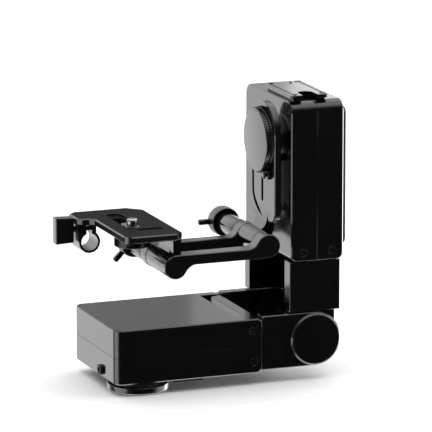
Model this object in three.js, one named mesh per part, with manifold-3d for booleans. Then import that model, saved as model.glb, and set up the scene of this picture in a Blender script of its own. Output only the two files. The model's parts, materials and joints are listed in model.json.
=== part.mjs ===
// Remote pan and tilt head: a motorised pan base, a folding column with the tilt drive,
// and a sliding, folding cradle that carries a camera plate. Millimetres, +Z up.
// The origin is on the pan axis at the underside of the base; +X points to the column.
import * as THREE from "three";
import { mergeVertices } from "three/addons/utils/BufferGeometryUtils.js";
import Module from "manifold-3d";

const wasm = await Module();
wasm.setup();

// Shared clearances and small finishing sizes
const seatGap = 0.3; // between two pieces that rest on each other
const runGap = 0.1; // round a shaft that turns or slides in a bore
const overrun = 1; // how far a cutter runs past the face that it cuts
const edgeBevel = 0.8; // broken edges of the machined covers
const weldDistance = 0.0005;
const fine = 28; // sides of large round pieces
const medium = 16; // sides of pins and small bosses
const coarse = 8; // sides of screws and posts
const cornerSteps = 2; // steps of each rounded corner
const curveSteps = 6; // steps of each large curve

// Base: the fixed disc with the tripod thread, and the spindle that it carries
const baseRadius = 26.3;
const baseHeight = 6;
const baseBevel = 1;
const threadRadius = 4.76;
const threadDepth = 14;
const baseRingRadius = 25.6;
const baseRingHeight = 4.1;
const baseRingBore = 17;
const baseRingTeeth = 32;
const baseRingToothDepth = 0.8;
const spindleFlangeRadius = 16.6;
const spindleRadius = 12;
const spindleTop = 36;
const panGearRadius = 22;
const panGearThickness = 8;
const panGearTeeth = 32;
const gearToothDepth = 1.5;
const spindleNutRadius = 15;
const spindleNutHeight = 4;
const nutNotchDepth = 1;
const nutNotchWidth = 2;
const nutNotches = 4;

// Pan housing: two covers that meet at a level seam
const panLeft = -29.2;
const panRight = 104;
const panFront = -27;
const panBack = 81;
const panHeight = 47.7;
const panCorner = 8;
const panEndCorner = 5.5;
const panWall = 2.5;
const seamHeight = 23.2; // seam above the underside of the housing
const openingLeft = 84;
const openingRimWidth = 1.3;
const openingFront = -12.6;
const openingBack = 71;
const bearingOuterRadius = 16;
const bearingHeight = 6;
const bearingWall = 2.8;
const padStart = 21;
const padEnd = 52;
const padFront = -25.5;
const padBack = -18.5;
const padThickness = 1.6;
const padSlant = 3;

// Pan drive inside the housing
const wormRadius = 5;
const wormLength = 28;
const wormGrooves = 3;
const wormGrooveDepth = 1.1;
const wormShaftRadius = 2;
const wormThreadShares = [0.25, 0.5, 0.75]; // of the pitch: where a thread is full, falls and ends
const panMotorRadius = 11;
const panMotorLength = 40;
const cradleWidth = 6;
const panBoardLeft = 46;
const panBoardRight = 86;
const panBoardFront = -18;
const panBoardBack = 58;
const boardThickness = 1.6;
const boardPostRadius = 3;
const boardPostHeight = 5;
const boardPostInset = 4;
const boardPartHeight = 1.6;
const boardPlugHeight = 4.8;
// Each part on a circuit board as shares of its length and width: from, to, from, to
const chipShares = [0.25, 0.6, 0.3, 0.5];
const driverShares = [0.3, 0.55, 0.62, 0.74];
const plugShares = [0.7, 0.9, 0.1, 0.35];

// Power socket in the left end
const socketAlong = 10.3;
const socketAbove = 16.6;
const socketSize = 8.6;
const socketCorner = 1.8;
const socketDepth = 9;
const socketBezel = 0.9;
const socketBoreRadius = 2.9;
const socketPinRadius = 0.8;
const socketFloor = 2;

// Socket head screws of the covers
const screwHeadRadius = 2.7;
const screwHeadHeight = 1.6;
const screwRecessRadius = 3.7;
const screwRecessDepth = 1.9;
const screwHexRadius = 1.5;
const screwHexDepth = 1.1;
const screwShankRadius = 1.5;
const screwShankLength = 6;
const screwRootOverlap = 0.3; // of the shank and its head
const hexSides = 6;
const panScrewInset = 8.6; // from the right end of the housing
const panScrewLow = 21.1;
const panScrewHigh = 48.6;
const caseScrewAbove = 8.5; // above the underside of the case
const caseScrewInset = 10.6; // from the left and right faces of the case

// Fork and fold hinge
const forkBlockLeft = 93.7;
const forkBlockDrop = 0.8; // below the top of the housing
const earRecess = 1.3; // of the ears behind the side faces of the housing
const earThickness = 12.3;
const backEarThickness = 10.9;
const hingeAlong = 153.2;
const hingeAbove = 35.65;
const earRadius = 23.75;
const hingePinRadius = 6;
const hingeDiscRadius = 23;
const hingeDiscThickness = 2.3;
const hingeDiscBevel = 1.6;

// Column: a channel that is open to the left, on two knuckles
const columnLeft = 129.5;
const columnRight = 176;
const columnBottom = 60.3;
const columnWeb = 8;
const columnBevel = 1;
const knuckleRadius = 22.5;
const knuckleThickness = 7.5;

// Case of the tilt drive: two shells on the column
const caseLeft = 130.4;
const caseRight = 178.5;
const caseFront = -26.4;
const caseBack = 80.4;
const caseBottom = 104.6;
const caseTop = 243.3;
const caseTopCorner = 10;
const caseBottomCorner = 6;
const caseSeam = 154.2;
const caseWall = 3;

// Tilt axis, hub, flange and knob
const tiltBelowTop = 34.7; // of the case
const hubRadius = 20;
const hubLeft = 121;
const hubShaftRadius = 10;
const hubShaftLength = 20;
const tiltBearingThickness = 6;
const tiltGearRadius = 21;
const tiltGearThickness = 7;
const tiltGearTeeth = 30;
const tiltGearOffset = 10; // from the left face of the case
const tiltMotorRadius = 9.2;
const tiltMotorLength = 42;
const tiltBoardFront = 0;
const tiltBoardBack = 58;
const tiltBoardLow = 128;
const tiltBoardHigh = 196;
const clampScrewRadius = 2.1;
const flangeRadius = 28.8;
const flangeThickness = 2.1;
const knobRadius = 28;
const knobThickness = 4.1;
const knobTeeth = 40;
const knobToothDepth = 0.6;
const buttonAside = -15.5;
const buttonBelow = 27.5; // below the tilt axis
const buttonRadius = 3.4;
const buttonLength = 4.6;
const buttonTravel = 1;
const buttonLugWall = 1.2;

// Tilt bar: slides on the hub and carries the arms
const barThickness = 6.5;
const barHalfWidth = 28.2;
const barTopRise = 5.8; // of the centre of its round top over the tilt axis
const barBottom = 139.5;
const barCorner = 9;
const barBackCorner = 16;
const slotWidth = 4.7;
const slotBottom = 154.8;
const slotTopRise = 5.4; // over the tilt axis
const curvedSlotWidth = 4.4;
const curvedSlotAside = 21.5;
const curvedSlotDrop = 2.6; // of its top under the tilt axis
const curvedSlotBend = 164;
const curvedSlotEndAside = -1;
const curvedSlotEnd = 142;

// Arms: two pivots along Y, with hubs between the arms
const rightPivotX = 106.4;
const rightPivotZ = 123;
const leftPivotX = 22;
const leftPivotZ = 111.35;
const bossRadius = 10.4;
const bossFillet = 11;
const armBevel = 0.7;
const frontArmFront = -36;
const frontArmBack = -22;
const rearArmFront = 12.5;
const rearArmBack = 24;
const middleHubRadius = 10.2;
const neckFront = -12;
const pivotPinRadius = 4;
const blindWall = 3;
const sleeveRadius = 9.2;
const sleeveBack = 68.5;
const grooveWidth = 0.8;
const grooveDepth = 0.4;
const grooveSet = 2.4;

// Lock rings with their square lever pegs
const lockRingFront = 65.3;
const lockRingBack = 79;
const lockRingRadius = 12.9;
const lockRingWall = 1.9;
const lockRingCup = 3.6;
const lockRingTeeth = 20;
const lockRingToothDepth = 0.5;
const pegSize = 4.7;
const pegReach = 10;

// Head bracket and camera plate
const blockLeft = 21.8;
const blockRight = 29.2;
const blockFront = -29;
const blockBack = 5;
const plateBottom = 136;
const plateThickness = 6;
const plateLeft = -25;
const plateRight = 27.5;
const plateFront = -41.5;
const plateBack = 71.5;
const plateCorner = 4;
const plateBevel = 1;
const tongueLeft = -38.5;
const tongueFront = 41;
const studX = -4.5;
const plateSlotWidth = 10.3;
const plateSlotFront = -5.3;
const plateSlotBack = 50.3;
const plateStepWidth = 13.5;
const plateStepDepth = 1.5;
const recessAlong = -15.7;
const recessLeft = -6;
const recessRight = 17.4;
const recessWidth = 8;
const recessDepth = 1;
const recessHoleRadius = 1.25;
const recessHoleInset = 4.2;

// Camera stud, its carriage and thumb wheel
const studRadius = 4.75;
const studRise = 7;
const studDome = 1.6;
const carriageThickness = 1.2;
const carriageWall = 1.6;
const wheelRadius = 15.4;
const wheelBottom = 125;
const wheelThickness = 8.5;
const wheelTeeth = 28;
const wheelToothDepth = 0.6;
const wheelHubRadius = 7;

// Rod clamp and its paddle key
const rodX = -28.3;
const rodZ = 121.5;
const rodBoreRadius = 7.6;
const rodOuterRadius = 9.7;
const rodFront = 41;
const rodBack = 64;
const slitLeft = -31;
const slitRight = -26.2;
const rightJaw = -22.2;
const keyZ = 131.2;
const keyScrewRadius = 2;
const keyNeckRadius = 3;
const keyNeckLength = 1.5;
const keyLength = 16.5;
const keyOuterHeight = 23.5;
const keyInnerHeight = 22;
const keyThickness = 8.7;
const keyCorner = 1;

// Battery plate on the right face
const batteryPlateThickness = 6.7;
const batteryPlateFront = -15;
const batteryPlateBack = 69;
const batteryPlateBottom = 114;
const batteryPlateTop = 235;
const batteryPlateCorner = 6;
const wedgeDepth = 4.6;
const wedgeLip = 1.8;
const wedgeUndercut = 2;
const wedgeTopWidth = 50;
const wedgeBottomWidth = 34;
const wedgeHeight = 88;
const contactWidth = 30;
const contactHeight = 12;
const contactThickness = 2.6;
const contactSlots = 5;
const contactSlotShare = 0.5;
const contactSlotDepth = 1.2;
const releaseSize = 12;
const releaseHeight = 9;
const releaseAbove = 26; // above the lower edge of the battery plate
const releaseStep = 1.2;

// Accessory rail on the top
const railLeft = 132;
const railRight = 166;
const railFront = -22.5;
const railBack = 42.5;
const railThickness = 5.4;
const railFootInset = 2.6;
const railFootHeight = 2;
const railCorner = 3;
const railSlotWidth = 13.5;
const railSlotFrontDepth = 17.5;
const railSlotBackDepth = 13.5;
const railGrooveWidth = 1.6;
const railGrooveDepth = 0.7;
const railGrooveInset = 3.4;
const railScrewInset = 4.6;

// Faces and places that follow from the sizes above
const panBottom = baseHeight + baseRingHeight + seatGap;
const panTop = panBottom + panHeight;
const seam = panBottom + seamHeight;
const tiltAbove = caseTop - tiltBelowTop;
const barTopCentre = tiltAbove + barTopRise;
const slotTop = tiltAbove + slotTopRise;
const curvedSlotTop = tiltAbove - curvedSlotDrop;
const earFront = panFront + earRecess;
const earBack = panBack - earRecess;
const frontEarInner = earFront + earThickness;
const backEarInner = earBack - backEarThickness;
const earLeft = panRight + seatGap;
const hubRight = caseLeft - seatGap;
const barRight = hubLeft - seatGap;
const barLeft = barRight - barThickness;
const flangeRight = barLeft - seatGap;
const flangeLeft = flangeRight - flangeThickness;
const knobRight = flangeLeft - seatGap;
const knobLeft = knobRight - knobThickness;
const armTop = leftPivotZ + bossRadius;
const armBottom = rightPivotZ - bossRadius;
const plateTop = plateBottom + plateThickness;
const pinFront = frontArmFront + blindWall;
const wheelTop = wheelBottom + wheelThickness;
const railBottom = caseTop + seatGap;

// Which way a profile faces: its two axes and the axis that it is drawn out along
const frames = {
  X: [new THREE.Vector3(0, 1, 0), new THREE.Vector3(0, 0, 1), new THREE.Vector3(1, 0, 0)],
  Y: [new THREE.Vector3(1, 0, 0), new THREE.Vector3(0, 0, 1), new THREE.Vector3(0, -1, 0)],
  Z: [new THREE.Vector3(1, 0, 0), new THREE.Vector3(0, 1, 0), new THREE.Vector3(0, 0, 1)],
};

// Turns a closed geometry into a solid that can be joined and cut.
function solidOf(geometry) {
  const bare = geometry.clone();
  bare.deleteAttribute("normal");
  bare.deleteAttribute("uv");
  const merged = mergeVertices(bare, weldDistance);
  const corners = merged.index.array;
  const kept = [];
  for (let i = 0; i < corners.length; i += 3) {
    const [a, b, c] = [corners[i], corners[i + 1], corners[i + 2]];
    if (a !== b && b !== c && c !== a) kept.push(a, b, c);
  }
  const vertProperties = merged.attributes.position.array;
  return new wasm.Manifold(new wasm.Mesh({ numProp: 3, vertProperties, triVerts: new Uint32Array(kept) }));
}

// A box between two corners.
function box(x0, x1, y0, y1, z0, z1) {
  const geometry = new THREE.BoxGeometry(x1 - x0, y1 - y0, z1 - z0);
  geometry.translate((x0 + x1) / 2, (y0 + y1) / 2, (z0 + z1) / 2);
  return solidOf(geometry);
}

// A shape drawn out along an axis, from one place on it to another, with broken edges if bevel is not 0.
function drawn(shape, axis, from, to, bevel = 0, steps = cornerSteps) {
  const geometry = new THREE.ExtrudeGeometry(shape, {
    depth: to - from - 2 * bevel,
    curveSegments: steps,
    bevelEnabled: bevel > 0,
    bevelThickness: bevel,
    bevelSize: bevel,
    bevelOffset: -bevel,
    bevelSegments: 1,
  });
  geometry.applyMatrix4(new THREE.Matrix4().makeBasis(...frames[axis]));
  if (axis === "X") geometry.translate(from + bevel, 0, 0);
  if (axis === "Y") geometry.translate(0, to - bevel, 0);
  if (axis === "Z") geometry.translate(0, 0, from + bevel);
  return solidOf(geometry);
}

// A profile of [radius, place] points turned about an axis that passes through a point of the cross plane.
function turned(axis, across, up, profile, sides = medium) {
  const outline = profile.map(([radius, place]) => new THREE.Vector2(radius, place));
  const geometry = new THREE.LatheGeometry(outline, sides);
  if (axis === "X") {
    geometry.rotateZ(-Math.PI / 2);
    geometry.translate(0, across, up);
  }
  if (axis === "Y") geometry.translate(across, 0, up);
  if (axis === "Z") {
    geometry.rotateX(Math.PI / 2);
    geometry.translate(across, up, 0);
  }
  const body = solidOf(geometry);
  return body.volume() < 0 ? solidOf(flipped(geometry)) : body;
}

// The same geometry with its faces turned round.
function flipped(geometry) {
  const copy = geometry.clone();
  const order = copy.index.array;
  for (let i = 0; i < order.length; i += 3) [order[i], order[i + 1]] = [order[i + 1], order[i]];
  return copy;
}

// A plain rod along an axis.
function rod(axis, across, up, radius, from, to, sides = medium) {
  return turned(axis, across, up, [[0, from], [radius, from], [radius, to], [0, to]], sides);
}

// A straight ring.
function ring(axis, across, up, inner, outer, from, to, sides = medium) {
  const profile = [[inner, from], [outer, from], [outer, to], [inner, to], [inner, from]];
  return turned(axis, across, up, profile, sides);
}

// An outline through [x, y, radius] corners, each rounded by its radius.
function roundedOutline(corners) {
  const shape = new THREE.Shape();
  corners.forEach(([x, y, radius], i) => {
    const here = new THREE.Vector2(x, y);
    const before = corners[(i + corners.length - 1) % corners.length];
    const after = corners[(i + 1) % corners.length];
    const back = new THREE.Vector2(before[0], before[1]).sub(here).normalize();
    const ahead = new THREE.Vector2(after[0], after[1]).sub(here).normalize();
    const half = back.angleTo(ahead) / 2;
    const reach = radius / Math.tan(half);
    const start = here.clone().addScaledVector(back, reach);
    const end = here.clone().addScaledVector(ahead, reach);
    if (i === 0) shape.moveTo(start.x, start.y);
    else shape.lineTo(start.x, start.y);
    if (radius > 0) {
      const middle = back.clone().add(ahead).normalize();
      const centre = here.clone().addScaledVector(middle, radius / Math.sin(half));
      const from = start.clone().sub(centre).angle();
      const to = end.clone().sub(centre).angle();
      const turn = Math.atan2(Math.sin(to - from), Math.cos(to - from));
      shape.absarc(centre.x, centre.y, radius, from, to, turn < 0);
    }
  });
  shape.closePath();
  return shape;
}

// A rectangle with one radius on all its corners.
function roundedRectangle(x0, x1, y0, y1, radius) {
  return roundedOutline([[x0, y0, radius], [x1, y0, radius], [x1, y1, radius], [x0, y1, radius]]);
}

// A slot outline with round ends, along the second axis of its plane.
function slotShape(middle, from, to, width) {
  const radius = width / 2;
  const shape = new THREE.Shape();
  shape.absarc(middle, to - radius, radius, 0, Math.PI, false);
  shape.absarc(middle, from + radius, radius, Math.PI, 2 * Math.PI, false);
  shape.closePath();
  return shape;
}

// A slot outline with round ends, along the first axis of its plane.
function levelSlotShape(middle, from, to, width) {
  const radius = width / 2;
  const shape = new THREE.Shape();
  shape.absarc(to - radius, middle, radius, -Math.PI / 2, Math.PI / 2, false);
  shape.absarc(from + radius, middle, radius, Math.PI / 2, Math.PI * 1.5, false);
  shape.closePath();
  return shape;
}

// A slot outline drawn out along an axis, with finely stepped round ends.
function slotCutter(shape, axis, from, to) {
  return drawn(shape, axis, from, to, 0, curveSteps);
}

// The toothed outline of a knurled rim or a gear: flat lands and flat grooves by turns.
function toothedShape(across, up, radius, depth, teeth) {
  const shape = new THREE.Shape();
  for (let i = 0; i < teeth * 2; i++) {
    const angle = (i * Math.PI) / teeth;
    const reach = i % 2 === 0 ? radius : radius - depth;
    const x = across + reach * Math.cos(angle);
    const y = up + reach * Math.sin(angle);
    if (i === 0) shape.moveTo(x, y);
    else shape.lineTo(x, y);
  }
  shape.closePath();
  return shape;
}

function joined(first, ...others) {
  return others.reduce((whole, next) => whole.add(next), first);
}

function cut(body, ...tools) {
  return tools.reduce((whole, tool) => whole.subtract(tool), body);
}

// Materials by finish
const finishes = {
  cover: { color: 0x17181a, roughness: 0.42, metalness: 0.4 },
  anodised: { color: 0x1d1e20, roughness: 0.32, metalness: 0.7 },
  matte: { color: 0x26272a, roughness: 0.6, metalness: 0.3 },
  steel: { color: 0x9a9da1, roughness: 0.3, metalness: 1 },
  bearing: { color: 0xb9bcc0, roughness: 0.25, metalness: 1 },
  brass: { color: 0xb8975a, roughness: 0.35, metalness: 1 },
  motor: { color: 0x55585c, roughness: 0.4, metalness: 0.9 },
  board: { color: 0x1f5a3a, roughness: 0.6, metalness: 0 },
  plastic: { color: 0x101113, roughness: 0.5, metalness: 0 },
};

// A named mesh from a solid.
function piece(name, body, finish) {
  const mesh = body.getMesh();
  const geometry = new THREE.BufferGeometry();
  const positions = new Float32Array(mesh.numVert * 3);
  for (let i = 0; i < mesh.numVert; i++) {
    const start = i * mesh.numProp;
    positions.set(mesh.vertProperties.subarray(start, start + 3), i * 3);
  }
  geometry.setAttribute("position", new THREE.BufferAttribute(positions, 3));
  geometry.setIndex(new THREE.BufferAttribute(new Uint32Array(mesh.triVerts), 1));
  const flat = geometry.toNonIndexed();
  flat.computeVertexNormals();
  const item = new THREE.Mesh(flat, new THREE.MeshStandardMaterial(finishes[finish]));
  item.name = name;
  return item;
}

// A socket head screw along an axis; outward is 1 or -1, the side that its head faces.
function socketScrew(axis, across, up, face, outward) {
  const at = (depth) => face - outward * depth;
  const span = (a, b) => [Math.min(a, b), Math.max(a, b)];
  const headBottom = screwRecessDepth - seatGap;
  const headTop = headBottom - screwHeadHeight;
  const head = rod(axis, across, up, screwHeadRadius, ...span(at(headTop), at(headBottom)), coarse);
  const tip = at(headBottom + screwShankLength);
  const shank = rod(
    axis, across, up, screwShankRadius, ...span(at(headBottom - screwRootOverlap), tip), coarse,
  );
  const drive = rod(
    axis, across, up, screwHexRadius, ...span(at(headTop - overrun), at(headTop + screwHexDepth)), hexSides,
  );
  return cut(joined(head, shank), drive);
}

// What a socket head screw needs in the piece that it sits in.
function screwRecess(axis, across, up, face, outward) {
  const at = (depth) => face - outward * depth;
  const span = (a, b) => [Math.min(a, b), Math.max(a, b)];
  const pocket = rod(
    axis, across, up, screwRecessRadius, ...span(at(-overrun), at(screwRecessDepth)), coarse,
  );
  const reach = screwRecessDepth + screwShankLength + overrun;
  const hole = rod(axis, across, up, screwShankRadius + runGap, ...span(at(0), at(reach)), coarse);
  return joined(pocket, hole);
}

// Base

function baseDisc() {
  const profile = [
    [threadRadius, 0],
    [baseRadius - baseBevel, 0],
    [baseRadius, baseBevel],
    [baseRadius, baseHeight - baseBevel / 2],
    [baseRadius - baseBevel / 2, baseHeight],
    [threadRadius, baseHeight],
    [threadRadius, 0],
  ];
  return turned("Z", 0, 0, profile, fine);
}

function baseRing() {
  const bottom = baseHeight + seatGap;
  const shape = toothedShape(0, 0, baseRingRadius, baseRingToothDepth, baseRingTeeth);
  const bore = new THREE.Path().absarc(0, 0, baseRingBore, 0, 2 * Math.PI, true);
  shape.holes.push(bore);
  return drawn(shape, "Z", bottom, bottom + baseRingHeight - seatGap, 0, fine / 2);
}

// The spindle stands on the disc, carries on its thread and holds the pan gear.
function panSpindle() {
  const bottom = baseHeight + seatGap;
  const shoulder = baseHeight + baseRingHeight;
  const profile = [
    [threadRadius, bottom],
    [spindleFlangeRadius, bottom],
    [spindleFlangeRadius, shoulder],
    [spindleRadius, shoulder],
    [spindleRadius, spindleTop],
    [0, spindleTop],
    [0, threadDepth],
    [threadRadius, threadDepth],
    [threadRadius, bottom],
  ];
  return turned("Z", 0, 0, profile, fine);
}

const panGearTop = spindleTop - spindleNutHeight;
const panGearBottom = panGearTop - panGearThickness;
const panDriveHeight = (panGearBottom + panGearTop) / 2;

function panGear() {
  const shape = toothedShape(0, 0, panGearRadius, gearToothDepth, panGearTeeth);
  shape.holes.push(new THREE.Path().absarc(0, 0, spindleRadius + seatGap, 0, 2 * Math.PI, true));
  return drawn(shape, "Z", panGearBottom, panGearTop, 0, fine / 2);
}

function spindleNut() {
  const profile = [
    [spindleRadius + seatGap, panGearTop + seatGap],
    [spindleNutRadius, panGearTop + seatGap],
    [spindleNutRadius, spindleTop],
    [spindleRadius + seatGap, spindleTop],
    [spindleRadius + seatGap, panGearTop + seatGap],
  ];
  const body = turned("Z", 0, 0, profile, fine);
  const notches = [];
  for (let i = 0; i < nutNotches; i++) {
    const notch = box(
      spindleNutRadius - nutNotchDepth, spindleNutRadius + overrun, -nutNotchWidth / 2, nutNotchWidth / 2,
      panGearTop, spindleTop + overrun,
    );
    notches.push(notch.rotate([0, 0, (i * 360) / nutNotches]));
  }
  return cut(body, ...notches);
}

// Pan housing

const bearingBottom = panBottom + panWall + seatGap;

// The outside of the two covers together, with all its vertical corners and broken edges.
function housingBlock(inset) {
  const corner = panCorner - inset;
  const end = panEndCorner - inset;
  const plan = roundedOutline([
    [panLeft + inset, panFront + inset, corner],
    [panRight - inset, panFront + inset, inset],
    [panRight - inset, panBack - inset, inset],
    [panLeft + inset, panBack - inset, corner],
  ]);
  const side = roundedOutline([
    [panLeft - overrun, panBottom + inset, 0],
    [panRight - inset, panBottom + inset, end],
    [panRight - inset, panTop - inset, end],
    [panLeft - overrun, panTop - inset, 0],
  ]);
  const bevel = inset > 0 ? 0 : edgeBevel;
  const body = drawn(plan, "Z", panBottom + inset, panTop - inset, bevel);
  return body.intersect(drawn(side, "Y", panFront - overrun, panBack + overrun));
}

// The room that the fork block takes inside the covers, and the windows of its two ears.
function forkRoom() {
  const low = panBottom + panWall;
  const high = panTop - panWall;
  const block = box(
    forkBlockLeft - seatGap, panRight + overrun, panFront + panWall, panBack - panWall, low, high,
  );
  return block;
}

function topOpening() {
  const right = panRight - openingRimWidth;
  return box(openingLeft, right, openingFront, openingBack, panTop - panWall - overrun, panTop + overrun);
}

function housingScrewPlaces() {
  const x = panRight - panScrewInset;
  const places = [];
  for (const [side, face, outward] of [["front", panFront, -1], ["back", panBack, 1]]) {
    places.push([side + "_low", x, panScrewLow, face, outward]);
    places.push([side + "_high", x, panScrewHigh, face, outward]);
  }
  return places;
}

function housingShell() {
  const recesses = housingScrewPlaces().map(([, x, z, face, outward]) => {
    return screwRecess("Y", x, z, face, outward);
  });
  return cut(housingBlock(0), housingBlock(panWall), forkRoom(), ...recesses);
}

function cutBelow(z) {
  return box(
    panLeft - overrun, panRight + overrun, panFront - overrun, panBack + overrun, panBottom - overrun, z,
  );
}

function cutAbove(z) {
  return box(
    panLeft - overrun, panRight + overrun, panFront - overrun, panBack + overrun, z, panTop + overrun,
  );
}

function socketShape(grow) {
  const half = socketSize / 2 + grow;
  const low = socketAbove - half;
  return roundedRectangle(socketAlong - half, socketAlong + half, low, low + 2 * half, socketCorner + grow);
}

const panMotorX = panGearRadius + seatGap + wormRadius;
const panMotorFront = wormLength / 2 + 3 * wormShaftRadius;
const panMotorBack = panMotorFront + panMotorLength;

function panShellLower() {
  const floor = panBottom + panWall;
  const boss = rod(
    "Z", 0, 0, bearingOuterRadius + seatGap + bearingWall, floor - overrun, floor + bearingHeight, fine,
  );
  const seat = rod("Z", 0, 0, bearingOuterRadius + seatGap, floor, floor + bearingHeight + overrun, fine);
  const hole = rod("Z", 0, 0, spindleRadius + seatGap, panBottom - overrun, floor + overrun, fine);
  const cradles = [panMotorFront + cradleWidth, panMotorBack - 2 * cradleWidth].map((y) => {
    const left = panMotorX - panMotorRadius;
    return box(
      left, panMotorX + panMotorRadius, y, y + cradleWidth, floor - overrun, panDriveHeight - overrun,
    );
  });
  const motorRoom = rod(
    "Y", panMotorX, panDriveHeight, panMotorRadius + seatGap, panMotorFront, panMotorBack,
  );
  const posts = boardPlaces().map(([x, y]) => {
    return rod("Z", x, y, boardPostRadius, floor - overrun, floor + boardPostHeight, coarse);
  });
  const bezel = drawn(socketShape(0), "X", panLeft - overrun, panLeft + socketDepth + 2 * seatGap);
  const shell = cut(housingShell(), cutAbove(seam - seatGap / 2));
  return cut(joined(shell, boss, ...cradles, ...posts), seat, hole, motorRoom, bezel);
}

function panShellUpper() {
  return cut(housingShell(), cutBelow(seam + seatGap / 2), topOpening());
}

function undersidePad() {
  const top = panBottom - seatGap;
  const shape = roundedOutline([
    [padStart + padSlant, top - padThickness, 0],
    [padEnd - padSlant, top - padThickness, 0],
    [padEnd, top, 0],
    [padStart, top, 0],
  ]);
  return drawn(shape, "Y", padFront, padBack);
}

function panBearing() {
  const inner = spindleRadius + runGap;
  return ring(
    "Z", 0, 0, inner, bearingOuterRadius, bearingBottom, bearingBottom + bearingHeight - seatGap, fine,
  );
}

// A worm that is drawn as a grooved roller, with its shaft running out at one end.
function worm(axis, across, up, from, to, shaftEnd) {
  const pitch = (to - from) / wormGrooves;
  const profile = [[0, from]];
  for (let i = 0; i < wormGrooves; i++) {
    const start = from + i * pitch;
    const [full, fall, end] = wormThreadShares.map((share) => start + pitch * share);
    profile.push([wormRadius - wormGrooveDepth, start], [wormRadius, full]);
    profile.push([wormRadius, fall], [wormRadius - wormGrooveDepth, end]);
  }
  profile.push([wormRadius - wormGrooveDepth, to]);
  profile.push([wormShaftRadius, to]);
  profile.push([wormShaftRadius, shaftEnd]);
  profile.push([0, shaftEnd]);
  return turned(axis, across, up, profile, coarse);
}

function panWorm() {
  return worm("Y", panMotorX, panDriveHeight, -wormLength / 2, wormLength / 2, panMotorFront - seatGap);
}

// A round motor with a stepped gearbox nose at its drive end.
function motor(axis, across, up, radius, from, to) {
  const nose = from + (to - from) / 4;
  const profile = [
    [0, from],
    [radius - edgeBevel, from],
    [radius - edgeBevel, nose],
    [radius, nose],
    [radius, to - edgeBevel],
    [radius - edgeBevel, to],
    [0, to],
  ];
  return turned(axis, across, up, profile, medium);
}

function boardPlaces() {
  const inset = boardPostInset;
  const places = [];
  for (const x of [panBoardLeft + inset, panBoardRight - inset]) {
    for (const y of [panBoardFront + inset, panBoardBack - inset]) places.push([x, y]);
  }
  return places;
}

// A circuit board with a few square parts and a tall connector standing on it.
function circuitBoard(axis, x0, x1, y0, y1, face, outward) {
  const layer = (a, b, c, d, from, to) => {
    const [low, high] = [face + outward * from, face + outward * to].sort((p, q) => p - q);
    return axis === "Z" ? box(a, b, c, d, low, high) : box(low, high, a, b, c, d);
  };
  const standing = ([along0, along1, aside0, aside1], height) => {
    const [length, width] = [x1 - x0, y1 - y0];
    return layer(
      x0 + length * along0, x0 + length * along1, y0 + width * aside0, y0 + width * aside1,
      boardThickness / 2, boardThickness + height,
    );
  };
  const sheet = layer(x0, x1, y0, y1, 0, boardThickness);
  const chip = standing(chipShares, boardPartHeight);
  const driver = standing(driverShares, boardPartHeight);
  const plug = standing(plugShares, boardPlugHeight);
  return joined(sheet, chip, driver, plug);
}

function panCircuitBoard() {
  const face = panBottom + panWall + boardPostHeight + seatGap;
  return circuitBoard("Z", panBoardLeft, panBoardRight, panBoardFront, panBoardBack, face, 1);
}

// The power socket: a bezel with sloping walls round a bore with a centre pin.
function powerSocket() {
  const front = panLeft + seatGap;
  const body = drawn(socketShape(-seatGap), "X", front, front + socketDepth);
  const bezel = drawn(socketShape(-seatGap - socketBezel), "X", front - overrun, front + socketBezel);
  const bore = rod(
    "X", socketAlong, socketAbove, socketBoreRadius, front, front + socketDepth - socketFloor, coarse,
  );
  const pinEnd = front + socketDepth - socketFloor / 2;
  const pin = rod("X", socketAlong, socketAbove, socketPinRadius, front + socketFloor, pinEnd, coarse);
  return joined(cut(body, bezel, bore), pin);
}

// Fork: a block inside the housing and two ears that reach out to the fold hinge

function earShape(radius) {
  const shape = new THREE.Shape();
  shape.moveTo(earLeft, hingeAbove - radius);
  shape.lineTo(hingeAlong, hingeAbove - radius);
  shape.absarc(hingeAlong, hingeAbove, radius, -Math.PI / 2, Math.PI / 2, false);
  shape.lineTo(earLeft, hingeAbove + radius);
  shape.closePath();
  return shape;
}

function forkFrame() {
  const low = panBottom + panWall + seatGap;
  const high = panTop - panWall - seatGap;
  const front = panFront + panWall + seatGap;
  const back = panBack - panWall - seatGap;
  const block = box(forkBlockLeft, earLeft + edgeBevel, front, back, low, high);
  const raisedRight = panRight - openingRimWidth - seatGap;
  const raisedTop = panTop - forkBlockDrop;
  const raised = box(
    forkBlockLeft, raisedRight, openingFront + seatGap, openingBack - seatGap, high - overrun, raisedTop,
  );
  const ears = [[earFront, frontEarInner], [backEarInner, earBack]].map(([from, to]) => {
    return drawn(earShape(earRadius), "Y", from, to, edgeBevel, curveSteps);
  });
  const necks = [[front, frontEarInner], [backEarInner, back]].map(([from, to]) => {
    return box(forkBlockLeft, earLeft + 3 * edgeBevel, from, to, low, high);
  });
  const pinBore = rod(
    "Y", hingeAlong, hingeAbove, hingePinRadius + seatGap, earFront - overrun, earBack + overrun, fine,
  );
  const holes = housingScrewPlaces().map(([, x, z, face, outward]) => {
    return screwRecess("Y", x, z, face, outward);
  });
  return cut(joined(block, raised, ...necks, ...ears), pinBore, ...holes);
}

function hingePin() {
  return rod("Y", hingeAlong, hingeAbove, hingePinRadius, earFront, earBack, fine);
}

function hingeDisc(face, outward) {
  const inner = face + outward * seatGap;
  const rim = inner + outward * (hingeDiscThickness - hingeDiscBevel);
  const outer = inner + outward * hingeDiscThickness;
  const profile = [[0, inner], [hingeDiscRadius, inner], [hingeDiscRadius, rim]];
  profile.push([hingeDiscRadius - hingeDiscBevel, outer], [0, outer]);
  return turned("Y", hingeAlong, hingeAbove, profile, fine);
}

// Column: two walls and a web above the ears, and two knuckles between them

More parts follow.
